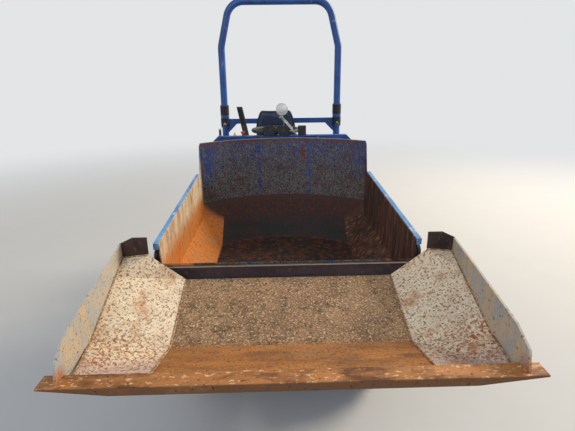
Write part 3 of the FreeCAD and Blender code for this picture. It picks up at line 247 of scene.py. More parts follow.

# %% [markdown]
# The skip's walls show their history by height. Rubble rarely reaches the top of the rear wall, where blue
# paint is left between scratches, and it is also left along the two folds of the sheet. The middle is
# scoured to a grey sparkle, kept darker than the steel as painted shade. Below the bend a plain brown band
# runs out in dark drips, and the floor is black scale with orange clay on it, both darkened as painted
# shade.
# The left side wall is orange and cream, in streaks that run downwards; the right one has the same streaks
# in dark browns, which are painted shade, and the top edge of the rear wall is a pale painted highlight.

# %% Skip finish
HEART = (0, -0.35, 1.15)
BELOW, ABOVE = (2, 0.953, 0.945), (2, 0.945, 0.953)
LEFT_WALL = (0, -0.430, -0.436), (1, 0.19, 0.13)
SHADED_RIGHT_WALL = (0, 0.430, 0.436), (1, 0.19, 0.13)
OUTSIDE = (OUT, -0.01, 0.01), (1, -0.945, -0.925)
# The grey base is kept darker than the scoured steel, as painted shade on the inside of the rear wall.
skip_steel_and_shade = layered("scoured and rusted skip steel with painted shade", "#4a4748", [
    ("#bdb7b4", 14, 0.44, 0.04, 0.50, (1, 1, 0.7)),
    ("#101016", 14, 0.40, 0.04, 0.60, (1, 1, 0.7)),
    ("#50352c", 60, 0.26, 0.10, 0.70),
    ("#1d3f80", 14, 0.40, 0.06, 0.48, (1, 1, 0.6), (2, 1.06, 1.34)),
    ("#1d3f80", 12, 0.48, 0.05, 0.48, (1, 1, 0.4), (0, -0.195, -0.18), (0, -0.155, -0.170), ABOVE),
    ("#1d3f80", 12, 0.52, 0.05, 0.48, (1, 1, 0.4), (0, 0.165, 0.18), (0, 0.215, 0.20), ABOVE),
    ("#1d3f80", 24, 0.50, 0.08, 0.48, (1, 1, 0.5), (0, -0.44, -0.54), (2, 1.02, 1.14)),
    ("#1d3f80", 24, 0.42, 0.08, 0.48, (1, 1, 0.5), (0, 0.47, 0.55), (2, 1.06, 1.20)),
    ("#5e3a30", 24, 0.55, 0.10, 0.70, EVEN, (2, 1.32, 1.36)),
    ("#70321c", 30, 0.60, 0.10, 0.75, EVEN, (0, 0.12, 0.15), (0, 0.18, 0.16), (2, 1.16, 1.22),
     (2, 1.32, 1.28)),
    # From the bend down, the brown band, the drips and the near-black floor are partly scale and rust,
    # partly painted shade.
    ("#3c241c", 200, 1.20, 0.10, 0.75, EVEN, BELOW),
    ("#46190b", 60, 0.56, 0.12, 0.80, (1, 1, 0.25), (2, 0.93, 0.90)),
    ("#6b2a10", 12, 0.30, 0.06, 0.80, (1, 1, 0.4), (2, 0.93, 0.89)),
    ("#0c0605", 20, 0.46, 0.07, 0.65, (1, 1, 0.12), (2, 0.938, 0.89)),
    ("#0a0504", 140, 0.85, 0.22, 0.70, EVEN, (2, 0.88, 0.76)),
    ("#6b3a16", 34, 0.40, 0.09, 0.85, EVEN, (2, 0.705, 0.695)),
    ("#0e0806", 14, 0.42, 0.06, 0.70, EVEN, (2, 0.705, 0.695)),
    ("#b0804e", 300, 1.25, 0.10, 0.80, EVEN, *LEFT_WALL),
    ("#ddc9a8", 70, 0.66, 0.14, 0.80, (1, 1.2, 0.22), *LEFT_WALL, (2, 0.93, 1.04)),
    ("#d2761c", 60, 0.62, 0.14, 0.80, (1, 1.3, 0.22), *LEFT_WALL, (2, 1.06, 0.94)),
    ("#8a5228", 20, 0.26, 0.06, 0.80, (1, 1.3, 0.3), *LEFT_WALL),
    # The right wall has the left wall's streaks in dark browns: that darkness is painted shade.
    ("#5c3c2a", 300, 1.25, 0.10, 0.80, EVEN, *SHADED_RIGHT_WALL),
    ("#2e1c18", 60, 0.66, 0.14, 0.80, (1, 1.2, 0.16), *SHADED_RIGHT_WALL),
    ("#a86c38", 26, 0.24, 0.07, 0.80, (1, 1.6, 0.10), *SHADED_RIGHT_WALL),
    ("#3a2017", 22, 0.16, 0.05, 0.70),
    # The pale strip along the very top of the rear wall is a painted highlight.
    ("#cbbba6", 200, 1.20, 0.10, 0.60, EVEN, (2, 1.3665, 1.3690)),
    ("#17417f", 300, 1.30, 0.10, 0.45, EVEN, *OUTSIDE),
    ("#2560a4", 150, 0.45, 0.14, 0.42, EVEN, *OUTSIDE),
    ("#6f6a68", 60, 0.24, 0.10, 0.80, (1, 1, 1.4), *OUTSIDE),
    ("#5e3422", 22, 0.16, 0.05, 0.80, (1, 1, 0.5), *OUTSIDE)], roughness=0.68, metallic=0.12,
    grain=4, relief=0.9, vary=0.12, heart=HEART)
print("skip finish done")

# %% [markdown]
# The frame, hoop and panel are mid-blue enamel, sprayed on and then chipped and dusted. Chips are small and
# show a dark primer, and dust lies over them in pale patches. The rims of the skip are the same enamel
# painted lighter, with pale patches, as painted sunlight and glints. The other finishes here are plainer:
# iron, chrome, zinc, plastics, rubber and vinyl.

# %% Enamels, bare metals, plastics and rubber
blue_enamel = layered("chipped blue enamel", "#0f3c7c", [
    ("#1c549c", 150, 0.42, 0.14, 0.42),
    ("#76818f", 40, 0.10, 0.06, 0.75),
    ("#2a1d18", 8, 0.08, 0.02, 0.70)], roughness=0.40, grain=8, relief=0.08)
# The rims are painted lighter than the blue enamel, with pale patches, as painted sunlight and glints.
sunlit_blue_enamel = layered("blue enamel with painted sunlight", "#3878bd", [
    ("#6fa3d3", 80, 0.50, 0.14, 0.55, (1, 0.4, 1)),
    ("#b9cddc", 26, 0.20, 0.07, 0.70, (1, 0.5, 1)),
    ("#5b3a28", 10, 0.10, 0.03, 0.75)], roughness=0.48, grain=7, relief=0.12)
black_enamel = layered("dusty black enamel", "#1a1b1d", [
    ("#57534c", 70, 0.24, 0.10, 0.80),
    ("#4a2f20", 20, 0.08, 0.03, 0.75)], roughness=0.45, grain=6, relief=0.12)
wheel_enamel = layered("dusty off-white wheel enamel", "#c9c4b6", [
    ("#8d8472", 70, 0.35, 0.10, 0.80),
    ("#6b4630", 16, 0.10, 0.03, 0.75)], roughness=0.5, grain=6, relief=0.12)
engine_iron = layered("oily cast iron", "#2e2f30", [
    ("#4b4239", 60, 0.35, 0.10, 0.70)], roughness=0.5, metallic=0.6, grain=3, relief=0.6)
rod_chrome = layered("hard chrome on steel rod", "#c4c7ca", [
    ("#8f9498", 120, 0.30, 0.14, 0.28)], roughness=0.14, metallic=1.0, grain=20, relief=0.02, vary=0.04)
zinc_plate = layered("dull zinc-plated steel", "#9a9c9b", [
    ("#6f6a60", 20, 0.25, 0.08, 0.70)], roughness=0.38, metallic=0.9, grain=3, relief=0.05)
black_moulding = layered("moulded black polypropylene", "#17181a", [
    ("#4c4a46", 40, 0.18, 0.08, 0.80)], roughness=0.5, grain=1.5, relief=0.08)
soft_black = layered("black nitrile rubber", "#121314", [
    ("#3b3935", 30, 0.20, 0.08, 0.88)], roughness=0.72, grain=1.5, relief=0.10)
white_plastic = layered("aged white ABS", "#d8dadb", [
    ("#a9a79f", 30, 0.20, 0.08, 0.60)], roughness=0.3, grain=10, relief=0.03, vary=0.05)
lamp_lens = layered("ribbed clear polycarbonate lens", "#eef0ee", roughness=0.12, grain=6, relief=0.35,
                    vary=0.03)
red_lens = layered("red acrylic lens", "#b01a17", roughness=0.16, grain=5, relief=0.25, vary=0.05)
amber_lens = layered("amber acrylic lens", "#e0851c", roughness=0.16, grain=5, relief=0.25, vary=0.05)
red_plastic = layered("moulded red ABS", "#b3261e", roughness=0.4, grain=2, relief=0.04, vary=0.06)
yellow_plastic = layered("moulded yellow ABS", "#d9b21f", roughness=0.4, grain=2, relief=0.04, vary=0.06)
deck_steel = layered("worn steel deck plate", "#2b2d30", [
    ("#6d6558", 70, 0.50, 0.10, 0.80),
    ("#7e8084", 25, 0.18, 0.05, 0.40)], roughness=0.55, metallic=0.3, grain=7, relief=0.8)
weld_steel = layered("rust-tinted weld metal", "#8a6647", [
    ("#c7ab88", 14, 0.40, 0.08, 0.70),
    ("#4f3626", 8, 0.26, 0.05, 0.70)], roughness=0.65, metallic=0.25, grain=3, relief=0.6)
rubber = layered("dusty tyre rubber", "#1c1c1d", [
    ("#6f675b", 80, 0.34, 0.12, 0.92),
    ("#3c3833", 18, 0.40, 0.08, 0.88)], roughness=0.82, grain=4, relief=0.25)
# Black vinyl with a navy tint: the blue is painted shade.
shade_blued_vinyl = layered("black vinyl seat cover with painted blue shade", "#0b1a36", [
    ("#152848", 60, 0.35, 0.12, 0.50),
    ("#4a5160", 22, 0.06, 0.04, 0.75)], roughness=0.46, grain=1.6, relief=0.12)
print("enamels done")

# %% [markdown]
# A carried-over part keeps its solid and only gets its finish, by its material slots. The table says which
# finish each node of the machine has.

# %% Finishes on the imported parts
WHEELS = ("front_left", "front_right", "rear_left", "rear_right")
FINISH = {
    clay_floor: ["shovel_floor"], clay_wing: ["shovel_wings"], side_plate: ["shovel_sides"],
    edge_steel: ["shovel_blade"], dark_scale_and_shade: ["shovel_ears", "shovel_brackets", "skip_lugs"],
    lip_steel_and_shade: ["skip_lip"], skip_steel_and_shade: ["skip_shell"], sunlit_blue_enamel: ["skip_rims"],
    blue_enamel: ["roll_bar", "bar_legs", "dash_panel", "front_frame", "lift_arms", "hood", "console",
                  "fenders", "tail_weight", "rear_frame", "arm_cheeks"],
    black_enamel: ["skip_posts", "lift_barrels", "tilt_barrel", "ram_barrel", "steer_barrel", "front_axle",
                   "rear_axle", "tow_jaw", "seat_frame", "steering_column", "control_lever"],
    rod_chrome: ["lift_rods", "tilt_rod", "ram_rod", "steer_rod"],
    engine_iron: ["engine_block", "exhaust"], deck_steel: ["deck"],
    black_moulding: ["steering_wheel", "panel_fittings"], white_plastic: ["work_lamp"],
    shade_blued_vinyl: ["seat_cushion", "seat_back"],
    rubber: [corner + "_tyre" for corner in WHEELS],
    wheel_enamel: [corner + "_rim" for corner in WHEELS],
}
finished = set()
for finish, names in FINISH.items():
    for name in names:
        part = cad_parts[name]
        for holder in part.material_slots:
            holder.material = finish
        if not part.material_slots:
            part.data.materials.append(finish)
        finished.add(name)
print("without a finish:", set(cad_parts) - finished)

# %% [markdown]
# The stage is a pale floor and a pale sky. In the photograph a low sun stands behind the machine on the
# right, so the left wing is bright and the right one lies in its own shade. One broad soft lamp there gives
# that difference, and a weaker one in front fills the inside of the skip. The sky looks nearly white to the
# camera, and in gloss and glass, but lights the machine at about half that strength. The floor passes into
# the same tone a few metres out, so no horizon cuts through the picture.

# %% Floor and light
FLOOR_RADIUS = 30
HAZE_START, HAZE_END, HAZE_TONE = 2.6, 11.0, "#e3e5e7"
SKY_TONE, SKY_LIGHT = "#dfe3e8", 0.55

shape = bmesh.new()
bmesh.ops.create_circle(shape, cap_ends=True, segments=96, radius=FLOOR_RADIUS)
floor = embody("studio_floor", shape)
floor_paper = layered("matt studio paper", "#cfcfcd", roughness=0.95, vary=0.01, grain=40, relief=0.02)
paper = floor_paper.node_tree
spot = add(paper, "ShaderNodeTexCoord")
spread = add(paper, "ShaderNodeVectorMath", {0: spot.outputs["Object"]}, operation="LENGTH")
fade = add(paper, "ShaderNodeMapRange", {"Value": spread.outputs["Value"], "From Min": HAZE_START,
                                         "From Max": HAZE_END}, interpolation_type="SMOOTHSTEP")
haze = add(paper, "ShaderNodeEmission", {"Color": paint(HAZE_TONE), "Strength": 1.0})
blend = add(paper, "ShaderNodeMixShader", {0: fade.outputs[0], 1: paper.nodes["Principled BSDF"].outputs[0],
                                           2: haze.outputs[0]})
feed(paper, paper.nodes["Material Output"], {"Surface": blend.outputs[0]})
floor.data.materials.append(floor_paper)

world = bpy.data.worlds.new("studio_sky")
bpy.context.scene.world = world
world.use_nodes = True
sky = world.node_tree
light_sky = sky.nodes["Background"]
feed(sky, light_sky, {"Color": paint(SKY_TONE), "Strength": SKY_LIGHT})
seen_sky = add(sky, "ShaderNodeBackground", {"Color": paint(HAZE_TONE), "Strength": 1.0})
ray = add(sky, "ShaderNodeLightPath")
seen = ray.outputs["Is Camera Ray"]
for other in ("Is Glossy Ray", "Is Transmission Ray"):
    seen = add(sky, "ShaderNodeMath", {0: seen, 1: ray.outputs[other]}, operation="MAXIMUM").outputs[0]
both = add(sky, "ShaderNodeMixShader", {0: seen, 1: light_sky.outputs[0], 2: seen_sky.outputs[0]})
feed(sky, sky.nodes["World Output"], {"Surface": both.outputs[0]})


def lamp(name, place, aim, size, power, colour):
    """A square area lamp that points at a place."""
    data = bpy.data.lights.new(name, "AREA")
    data.shape = "SQUARE"
    data.size = size
    data.energy = power
    data.color = paint(colour)[:3]
    holder = bpy.data.objects.new(name, data)
    holder.location = place
    holder.rotation_euler = (Vector(aim) - Vector(place)).to_track_quat("-Z", "Y").to_euler()
    bpy.context.collection.objects.link(holder)


lamp("key_lamp", (8.5, 4.0, 7.0), (0, -0.6, 0.8), 4.0, 1250, "#fff1dc")
lamp("front_lamp", (-3.0, -8.0, 6.0), (0, 0, 0.8), 5.0, 260, "#eef3ff")
print("stage lit")

# %% [markdown]
# New pieces need the same last steps each time: smooth shading where the surface is round, a finish, the
# body that carries them, mostly the rear chassis, and edges rounded by a live bevel. One function does
# that, and the others add a block, a round bar, a ring or a bolt to a shape.

# %% Helpers for new pieces
ACROSS, ALONG, UPWARD = (1, 0, 0), (0, 1, 0), (0, 0, 1)
MERGE_DISTANCE = 0.00005


def settle(name, shape, finish, body="rear_chassis", smooth=True, bevel=0, rounds=2, angle=35):
    """Turn a bmesh into a piece that rides on a body.

    A bevel of that width, in so many rounds, lies on the edges that are sharper than the angle.
    """
    bmesh.ops.remove_doubles(shape, verts=shape.verts, dist=MERGE_DISTANCE)
    bmesh.ops.recalc_face_normals(shape, faces=shape.faces)
    piece = embody(name, shape)
    for face in piece.data.polygons:
        face.use_smooth = smooth
    piece.data.materials.append(finish)
    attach(piece, body)
    if bevel:
        rounding = piece.modifiers.new("edge_rounding", "BEVEL")
        rounding.width = bevel
        rounding.segments = rounds
        rounding.limit_method = "ANGLE"
        rounding.angle_limit = math.radians(angle)
        rounding.harden_normals = True
    return piece


def put_block(shape, low, high):
    """Add a box between two corners to a bmesh and return its vertices."""
    size = [b - a for a, b in zip(low, high)]
    middle = [(a + b) / 2 for a, b in zip(low, high)]
    matrix = Matrix.Translation(middle) @ Matrix.Diagonal((*size, 1))
    return bmesh.ops.create_cube(shape, size=1, matrix=matrix)["verts"]


def put_disc(shape, middle, axis, radius, length, segments=24, tip=None):
    """Add a round bar, centred on a place, to a bmesh; with a tip it narrows to that radius."""
    aim = Vector(axis).to_track_quat("Z", "Y").to_matrix().to_4x4()
    bmesh.ops.create_cone(shape, cap_ends=True, segments=segments, radius1=radius,
                          radius2=radius if tip is None else tip, depth=length,
                          matrix=Matrix.Translation(middle) @ aim)


def bridge(shape, rows):
    """Join rings of vertices, one after the other, and close both ends."""
    for before, after in zip(rows, rows[1:]):
        for i in range(len(before)):
            j = (i + 1) % len(before)
            shape.faces.new((before[i], before[j], after[j], after[i]))
    shape.faces.new(rows[0])
    shape.faces.new(reversed(rows[-1]))


def sweep(shape, points, radius, step=None, sides=8, ripple=0.0):
    """A round bar along a run of points; with a step and a ripple it swells and shrinks like a weld."""
    run = [Vector(point) for point in points]
    if step:
        fine = []
        for a, b in zip(run, run[1:]):
            count = max(1, round((b - a).length / step))
            fine += [a.lerp(b, i / count) for i in range(count)]
        run = fine + run[-1:]
    turns = [2 * math.pi * k / sides for k in range(sides)]
    rows, across = [], None
    for i, place in enumerate(run):
        along = (run[min(i + 1, len(run) - 1)] - run[max(i - 1, 0)]).normalized()
        across = along.orthogonal() if across is None else across - along * across.dot(along)
        across.normalize()
        other = along.cross(across)
        reach = radius * (1 + ripple * (-1) ** i)
        row = [place + reach * (math.cos(turn) * across + math.sin(turn) * other) for turn in turns]
        rows.append([shape.verts.new(point) for point in row])
    bridge(shape, rows)


def put_ring(shape, middle, axis, radius, thick, segments=32, sides=8):
    """A round bar bent into a closed ring."""
    aim = Vector(axis).to_track_quat("Z", "Y").to_matrix()
    rise = aim @ Vector(UPWARD)
    section = [2 * math.pi * k / sides for k in range(sides)]
    rows = []
    for i in range(segments):
        turn = 2 * math.pi * i / segments
        spoke = aim @ Vector((math.cos(turn), math.sin(turn), 0))
        row = [Vector(middle) + spoke * (radius + thick * math.cos(t)) + rise * thick * math.sin(t)
               for t in section]
        rows.append([shape.verts.new(point) for point in row])
    for before, after in zip(rows, rows[1:] + rows[:1]):
        for k in range(sides):
            shape.faces.new((before[k], before[(k + 1) % sides], after[(k + 1) % sides], after[k]))


def put_bolt(shape, place, out, size):
    """A washer, a hexagon head and the chamfer on it, standing on a face that looks along out."""
    place, out = Vector(place), Vector(out)
    put_disc(shape, place + out * size * 0.08, out, size * 1.15, size * 0.16)
    put_disc(shape, place + out * size * 0.50, out, size * 0.85, size * 0.68, segments=6)
    put_disc(shape, place + out * size * 0.89, out, size * 0.74, size * 0.10, tip=size * 0.62)


# %% [markdown]
# A dumper's tyre has a bulging carcass and deep slanted bars that meet in a chevron and bite into mud. The
# carcass is one section, spun round the axle. A bar is a short loft that leans back as it goes outwards and
# bends down over the shoulder. Two rows of them run round the tyre, half a step apart.

# %% Tyres
TYRE_RADIUS, RIM_RADIUS, SPIN_STEPS = 0.330, 0.165, 64
LUG_COUNT, LUG_TOP, LUG_FOOT, LUG_LEAN, LEAN_START = 20, 0.0105, 0.0135, 0.52, 0.012
CARCASS = [(0.082, RIM_RADIUS - 0.004), (0.090, RIM_RADIUS + 0.012), (0.094, RIM_RADIUS + 0.030),
           (0.0995, 0.215), (0.1, 0.238), (0.098, 0.262), (0.091, 0.287), (0.076, 0.301), (0.05, 0.3075),
           (0.02, 0.3095)]
LUG_ROWS = [(0.0, 0.0, 0.300), (0.02, 0.0005, 0.300), (0.045, 0.002, 0.298), (0.07, 0.006, 0.292),
            (0.088, 0.019, 0.280), (0.0985, 0.036, 0.255)]


def tyre_lug(shape, axle, side, turn):
    """One tread bar: each row gives the distance from the middle, the drop of its top, and its foot."""
    rows = []
    for across, drop, foot in LUG_ROWS:
        lean = LUG_LEAN * max(0.0, across - LEAN_START)
        top = TYRE_RADIUS - drop
        row = [(lean - LUG_TOP, top), (lean + LUG_TOP, top), (lean + LUG_FOOT, foot),
               (lean - LUG_FOOT, foot)]
        places = [Vector((side * across, y, z)) for y, z in row]
        rows.append([shape.verts.new(axle + Matrix.Rotation(turn, 3, "X") @ place) for place in places])
    bridge(shape, rows)


def tyre(name, axle, body):
    """A carcass spun round the axle, with its lugs."""
    shape = bmesh.new()
    ring = CARCASS + [(-x, r) for x, r in reversed(CARCASS)]
    row = [shape.verts.new((axle.x + x, axle.y, axle.z + r)) for x, r in ring]
    edges = [shape.edges.new((a, b)) for a, b in zip(row, row[1:])]
    bmesh.ops.spin(shape, geom=row + edges, cent=axle, axis=ACROSS, angle=2 * math.pi, steps=SPIN_STEPS,
                   use_merge=True, use_duplicate=False)
    for side in (-1, 1):
        for i in range(LUG_COUNT):
            tyre_lug(shape, axle, side, 2 * math.pi * (i + (0.5 if side > 0 else 0)) / LUG_COUNT)
    return settle(name, shape, rubber, body)


AXLES = {}
for corner in WHEELS:
    low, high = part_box(corner + "_tyre")
    axle = (Vector(low) + Vector(high)) / 2
    AXLES[corner] = axle
    rolling = tyre(corner + "_lugged_tyre", axle, corner + "_wheel")
    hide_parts(corner + "_tyre")
    print(corner, "axle", tuple(round(v, 3) for v in axle), "triangles", 2 * len(rolling.data.polygons))

# %% [markdown]
# Five studs hold each wheel, on a circle round the hub, with a dust cap in the middle. They are hexagons
# with a round washer below, on the outer face of the wheel's disc.

# %% Wheel nuts and hub caps
STUDS, STUD_CIRCLE, DISC_FACE = 5, 0.072, 0.011
for corner, axle in AXLES.items():
    out = -1 if axle.x < 0 else 1
    shape = bmesh.new()
    for i in range(STUDS):
        turn = 2 * math.pi * i / STUDS
        place = axle + Vector((out * DISC_FACE, STUD_CIRCLE * math.sin(turn), STUD_CIRCLE * math.cos(turn)))
        put_disc(shape, place, (out, 0, 0), 0.015, 0.004)
        put_disc(shape, place + Vector((out * 0.008, 0, 0)), (out, 0, 0), 0.012, 0.014, segments=6)
    put_disc(shape, axle + Vector((out * 0.026, 0, 0)), (out, 0, 0), 0.038, 0.024, tip=0.033)
    settle(corner + "_wheel_nuts", shape, engine_iron, corner + "_wheel", smooth=False,
           bevel=0.0012)
print("wheel nuts set")

# %% [markdown]
# The seat has a foam cushion and a back in black vinyl, tinted navy as painted blue shade. A pad is a closed
# shape that swells between its seams: a rounded block is remeshed, blown up a little by cloth simulation,
# and the growth is capped so that it stays in the space of its solid. The back narrows towards its top. A
# piping cord of the same vinyl follows the edge that is sewn, and it is laid on the swollen pad, so it keeps
# touching.

# %% Padded seat
PAD_CORNER, PAD_VOXEL, PAD_PRESSURE, CLOTH_FRAMES, SEAM_BAND = 0.022, 0.009, 4, 20, 0.007


def pad(name, low, high, squeeze, node, cap=0.014, waist=None, taper=0.0):
    """A crowned cushion in the space of a solid.

    Squeeze is how far the start shape is drawn in, and cap is the most that a point may move as it swells.
    Above the waist the pad narrows towards its top by the share that taper gives.
    """
    shape = bmesh.new()
    put_block(shape, [a + s for a, s in zip(low, squeeze)], [b - s for b, s in zip(high, squeeze)])
    bmesh.ops.bevel(shape, geom=list(shape.edges), offset=PAD_CORNER, segments=4, profile=0.5,
                    affect="EDGES", material=-1)
    piece = embody(name, shape)
    remesh = piece.modifiers.new("even_mesh", "REMESH")
    remesh.mode = "VOXEL"
    remesh.voxel_size = PAD_VOXEL
    bake(piece)
    middle = (low[0] + high[0]) / 2
    for v in piece.data.vertices:
        if waist and v.co.z > waist:
            rise = (v.co.z - waist) / (high[2] - waist)
            v.co.x = middle + (v.co.x - middle) * (1 - taper * rise ** 1.5)
    start = [v.co.copy() for v in piece.data.vertices]
    cloth = piece.modifiers.new("swelling", "CLOTH")
    cloth.settings.use_pressure = True
    cloth.settings.uniform_pressure_force = PAD_PRESSURE
    cloth.settings.effector_weights.gravity = 0
    cloth.point_cache.frame_end = CLOTH_FRAMES
    for frame_number in range(1, CLOTH_FRAMES + 1):
        bpy.context.scene.frame_set(frame_number)
    bake(piece)
    for v, before in zip(piece.data.vertices, start):
        move = v.co - before
        if move.length > cap:
            v.co = before + move * (cap / move.length)
    for v in piece.data.vertices:
        for axis in range(3):
            v.co[axis] = min(max(v.co[axis], low[axis]), high[axis])
    smooth = piece.modifiers.new("fine", "SUBSURF")
    smooth.levels = 1
    smooth.render_levels = 1
    for face in piece.data.polygons:
        face.use_smooth = True
    piece.data.materials.clear()
    piece.data.materials.append(shade_blued_vinyl)
    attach(piece, "rear_chassis")
    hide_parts(node)
    return piece


def bake(piece):
    """Apply the piece's modifiers to its mesh."""
    seen = bpy.context.evaluated_depsgraph_get()
    mesh = bpy.data.meshes.new_from_object(piece.evaluated_get(seen))
    piece.modifiers.clear()
    piece.data = mesh


low, high = [Vector(v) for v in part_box("seat_cushion")]
seat_pad = pad("seat_pad", low, high, (0.010, 0.010, 0.012), "seat_cushion")
low, high = [Vector(v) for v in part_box("seat_back")]
back_pad = pad("back_pad", low, high, (0.010, 0.012, 0.010), "seat_back", waist=1.37, taper=0.27)
print("seat padded:", len(seat_pad.data.vertices), len(back_pad.data.vertices), "points")


def piping(name, piece, axis, level, count=72, radius=0.0042):
    """A welt cord round a pad: at one level it joins the outermost points of the pad, turn by turn."""
    slab = [v.co for v in piece.data.vertices if abs(v.co[axis] - level) < SEAM_BAND]
    u, w = [i for i in range(3) if i != axis]
    middle = [(min(p[i] for p in slab) + max(p[i] for p in slab)) / 2 for i in (u, w)]
    far = {}
    for p in slab:
        a, b = p[u] - middle[0], p[w] - middle[1]
        turn = round(math.atan2(b, a) / (2 * math.pi) * count) % count
        far[turn] = max(far.get(turn, (0, 0, 0)), (math.hypot(a, b), a, b))
    ring = [far[turn][1:] for turn in sorted(far)]
    shape = bmesh.new()
    run = []
    for i in range(len(ring) + 1):
        near = [ring[(i + j) % len(ring)] for j in (-1, 0, 1)]
        point = [0.0, 0.0, 0.0]
        point[axis] = level
        point[u] = middle[0] + sum(n[0] for n in near) / 3
        point[w] = middle[1] + sum(n[1] for n in near) / 3
        run.append(point)
    sweep(shape, run, radius)
    return settle(name, shape, shade_blued_vinyl)


piping("seat_piping", seat_pad, 2, 1.024)
piping("back_piping", back_pad, 1, 1.175)
print("piping sewn on")

# %% [markdown]
# The shovel is welded up from five plates, and the beads show as raised ropes with a fine ripple, because a
# welder moves the arc in small steps. One bead runs down each corner where a wing meets the floor, one
# where it meets the side plate, and a short one closes the ear at the back. A thinner one follows the
# cutting edge, and a row of short stitches holds each rim of the skip from below.

# %% Weld beads
BEAD, EDGE_BEAD, STITCH_BEAD = 0.0042, 0.0035, 0.003
STITCHES, FIRST_STITCH, STITCH_PITCH, STITCH_LENGTH = 7, -0.93, 0.155, 0.05
RIM_X, RIM_UNDER = 0.599, 1.074
SEAMS = [
    [(0.460, -1.636, 0.906), (0.460, -1.365, 0.829), (0.460, -1.012, 0.937)],
    [(0.700, -1.636, 0.906), (0.716, -1.444, 0.913), (0.716, -1.320, 0.963), (0.716, -1.154, 1.024),
     (0.716, -1.046, 1.063)],
    [(0.607, -1.045, 1.075), (0.716, -1.045, 1.063)]]


def weld(shape, run, radius, step=0.007):
    """A rippled bead along a run of points."""
    sweep(shape, run, radius, step=step, sides=6, ripple=0.16)


shape = bmesh.new()
for side in (-1, 1):
    for run in SEAMS:
        weld(shape, [(side * x, y, z) for x, y, z in run], BEAD)
weld(shape, [(-0.70, -1.637, 0.906), (0.70, -1.637, 0.906)], EDGE_BEAD, step=0.008)
settle("shovel_weld_beads", shape, weld_steel, "shovel")

shape = bmesh.new()
for side in (-1, 1):
    for i in range(STITCHES):
        start = FIRST_STITCH + STITCH_PITCH * i
        ends = (start, start + STITCH_LENGTH)
        weld(shape, [(side * RIM_X, y, RIM_UNDER) for y in ends], STITCH_BEAD)
settle("rim_weld_beads", shape, weld_steel, "skip")
print("weld beads laid")

# %% [markdown]
# The pins of the lift arms and of the shovel end in a round plate with a bolt head and a grease nipple,
# which keeps them from walking out. The caps ride on the part that holds the pin, so they don't turn
# against it. The pin of the centre joint has a large nut with a split pin through it.

# %% Pin caps and grease nipples
PINS = [("arm_pin", 0.660, 0.07, 0.62, 0.032, "front_chassis"),
        ("tip_pin", 0.672, -1.23, 0.80, 0.029, "lift_arms")]
CENTRE_Y = 0.25
for name, x, y, z, reach, body in PINS:
    shape = bmesh.new()
    for side in (-1, 1):
        out = Vector((side, 0, 0))
        face = Vector((side * x, y, z))
        put_disc(shape, face + out * 0.0022, out, reach, 0.0036, segments=40)
        put_disc(shape, face + out * 0.0065, out, reach * 0.52, 0.005, segments=6)
        put_disc(shape, face + out * 0.0115, out, 0.0045, 0.006, segments=12, tip=0.0030)
    settle(name + "_caps", shape, zinc_plate, body, smooth=False, bevel=0.0006)

shape = bmesh.new()
put_disc(shape, (0, CENTRE_Y, 0.606), UPWARD, 0.034, 0.004, segments=40)
put_disc(shape, (0, CENTRE_Y, 0.617), UPWARD, 0.027, 0.018, segments=6)
sweep(shape, [(-0.034, CENTRE_Y, 0.620), (0.030, CENTRE_Y, 0.620)], 0.0022)
settle("centre_joint_nut", shape, zinc_plate, smooth=False, bevel=0.001)
print("pins capped")

# %% [markdown]
# The hoop folds down for transport. Each leg has two black rubber sleeves at its joint, one below and one
# above the hinge, and a locking pin with a pull ring goes through the lower one.

# %% Hoop sleeves and locking pins
LEG_X, LEG_Y, SLEEVE = 0.515, 1.29, 0.0393
SLEEVES = [("lower", 1.366, 1.438, "rear_chassis"), ("upper", 1.466, 1.548, "roll_hoop")]
for name, low, high, body in SLEEVES:
    shape = bmesh.new()
    for side in (-1, 1):
        put_disc(shape, (side * LEG_X, LEG_Y, (low + high) / 2), UPWARD, SLEEVE, high - low, segments=40)
        for z in (low + 0.012, high - 0.012):
            put_ring(shape, (side * LEG_X, LEG_Y, z), UPWARD, SLEEVE, 0.0016, segments=40, sides=6)
    settle(name + "_hoop_sleeves", shape, soft_black, body, bevel=0.0015, angle=40)

shape = bmesh.new()
front = LEG_Y - 0.039
for side in (-1, 1):
    put_disc(shape, (side * LEG_X, front - 0.010, 1.392), ALONG, 0.007, 0.024, segments=16)
    put_disc(shape, (side * LEG_X, front - 0.020, 1.392), ALONG, 0.010, 0.005, segments=16)
    put_ring(shape, (side * LEG_X, front - 0.022, 1.377), ALONG, 0.014, 0.0014, sides=6)
settle("hoop_locking_pins", shape, zinc_plate, bevel=0.0006, angle=50)
print("hoop sleeves set")

# %% [markdown]
# The work lamp looks forward over the skip. It has a white rim with a ribbed lens in it, a tapered bowl at
# the back, and a clamp with a wing screw where its stalk bends. Two thin wire braces go down from the clamp
# to the top of the panel, where three nuts hold them and the stalk.

# %% Work lamp
LAMP = Vector((0, 0.508, 1.566))
RIB_PITCH, RIB_REACH = 0.0055, 0.037
BRACES = [
    (0.0026, [(-0.006, 0.519, 1.508), (0.030, 0.519, 1.484), (0.078, 0.521, 1.425), (0.104, 0.523, 1.373)]),
    (0.0018, [(0.014, 0.521, 1.494), (0.012, 0.521, 1.452), (0.006, 0.522, 1.410), (-0.004, 0.523, 1.373)])]
shape = bmesh.new()
put_ring(shape, LAMP, ALONG, 0.0415, 0.0028, segments=48)
put_ring(shape, LAMP + Vector((0, 0.030, 0)), ALONG, 0.0435, 0.0010, segments=48, sides=6)
put_disc(shape, LAMP + Vector((0, 0.0485, 0)), ALONG, 0.040, 0.026, segments=48, tip=0.016)
settle("work_lamp_rim", shape, white_plastic)

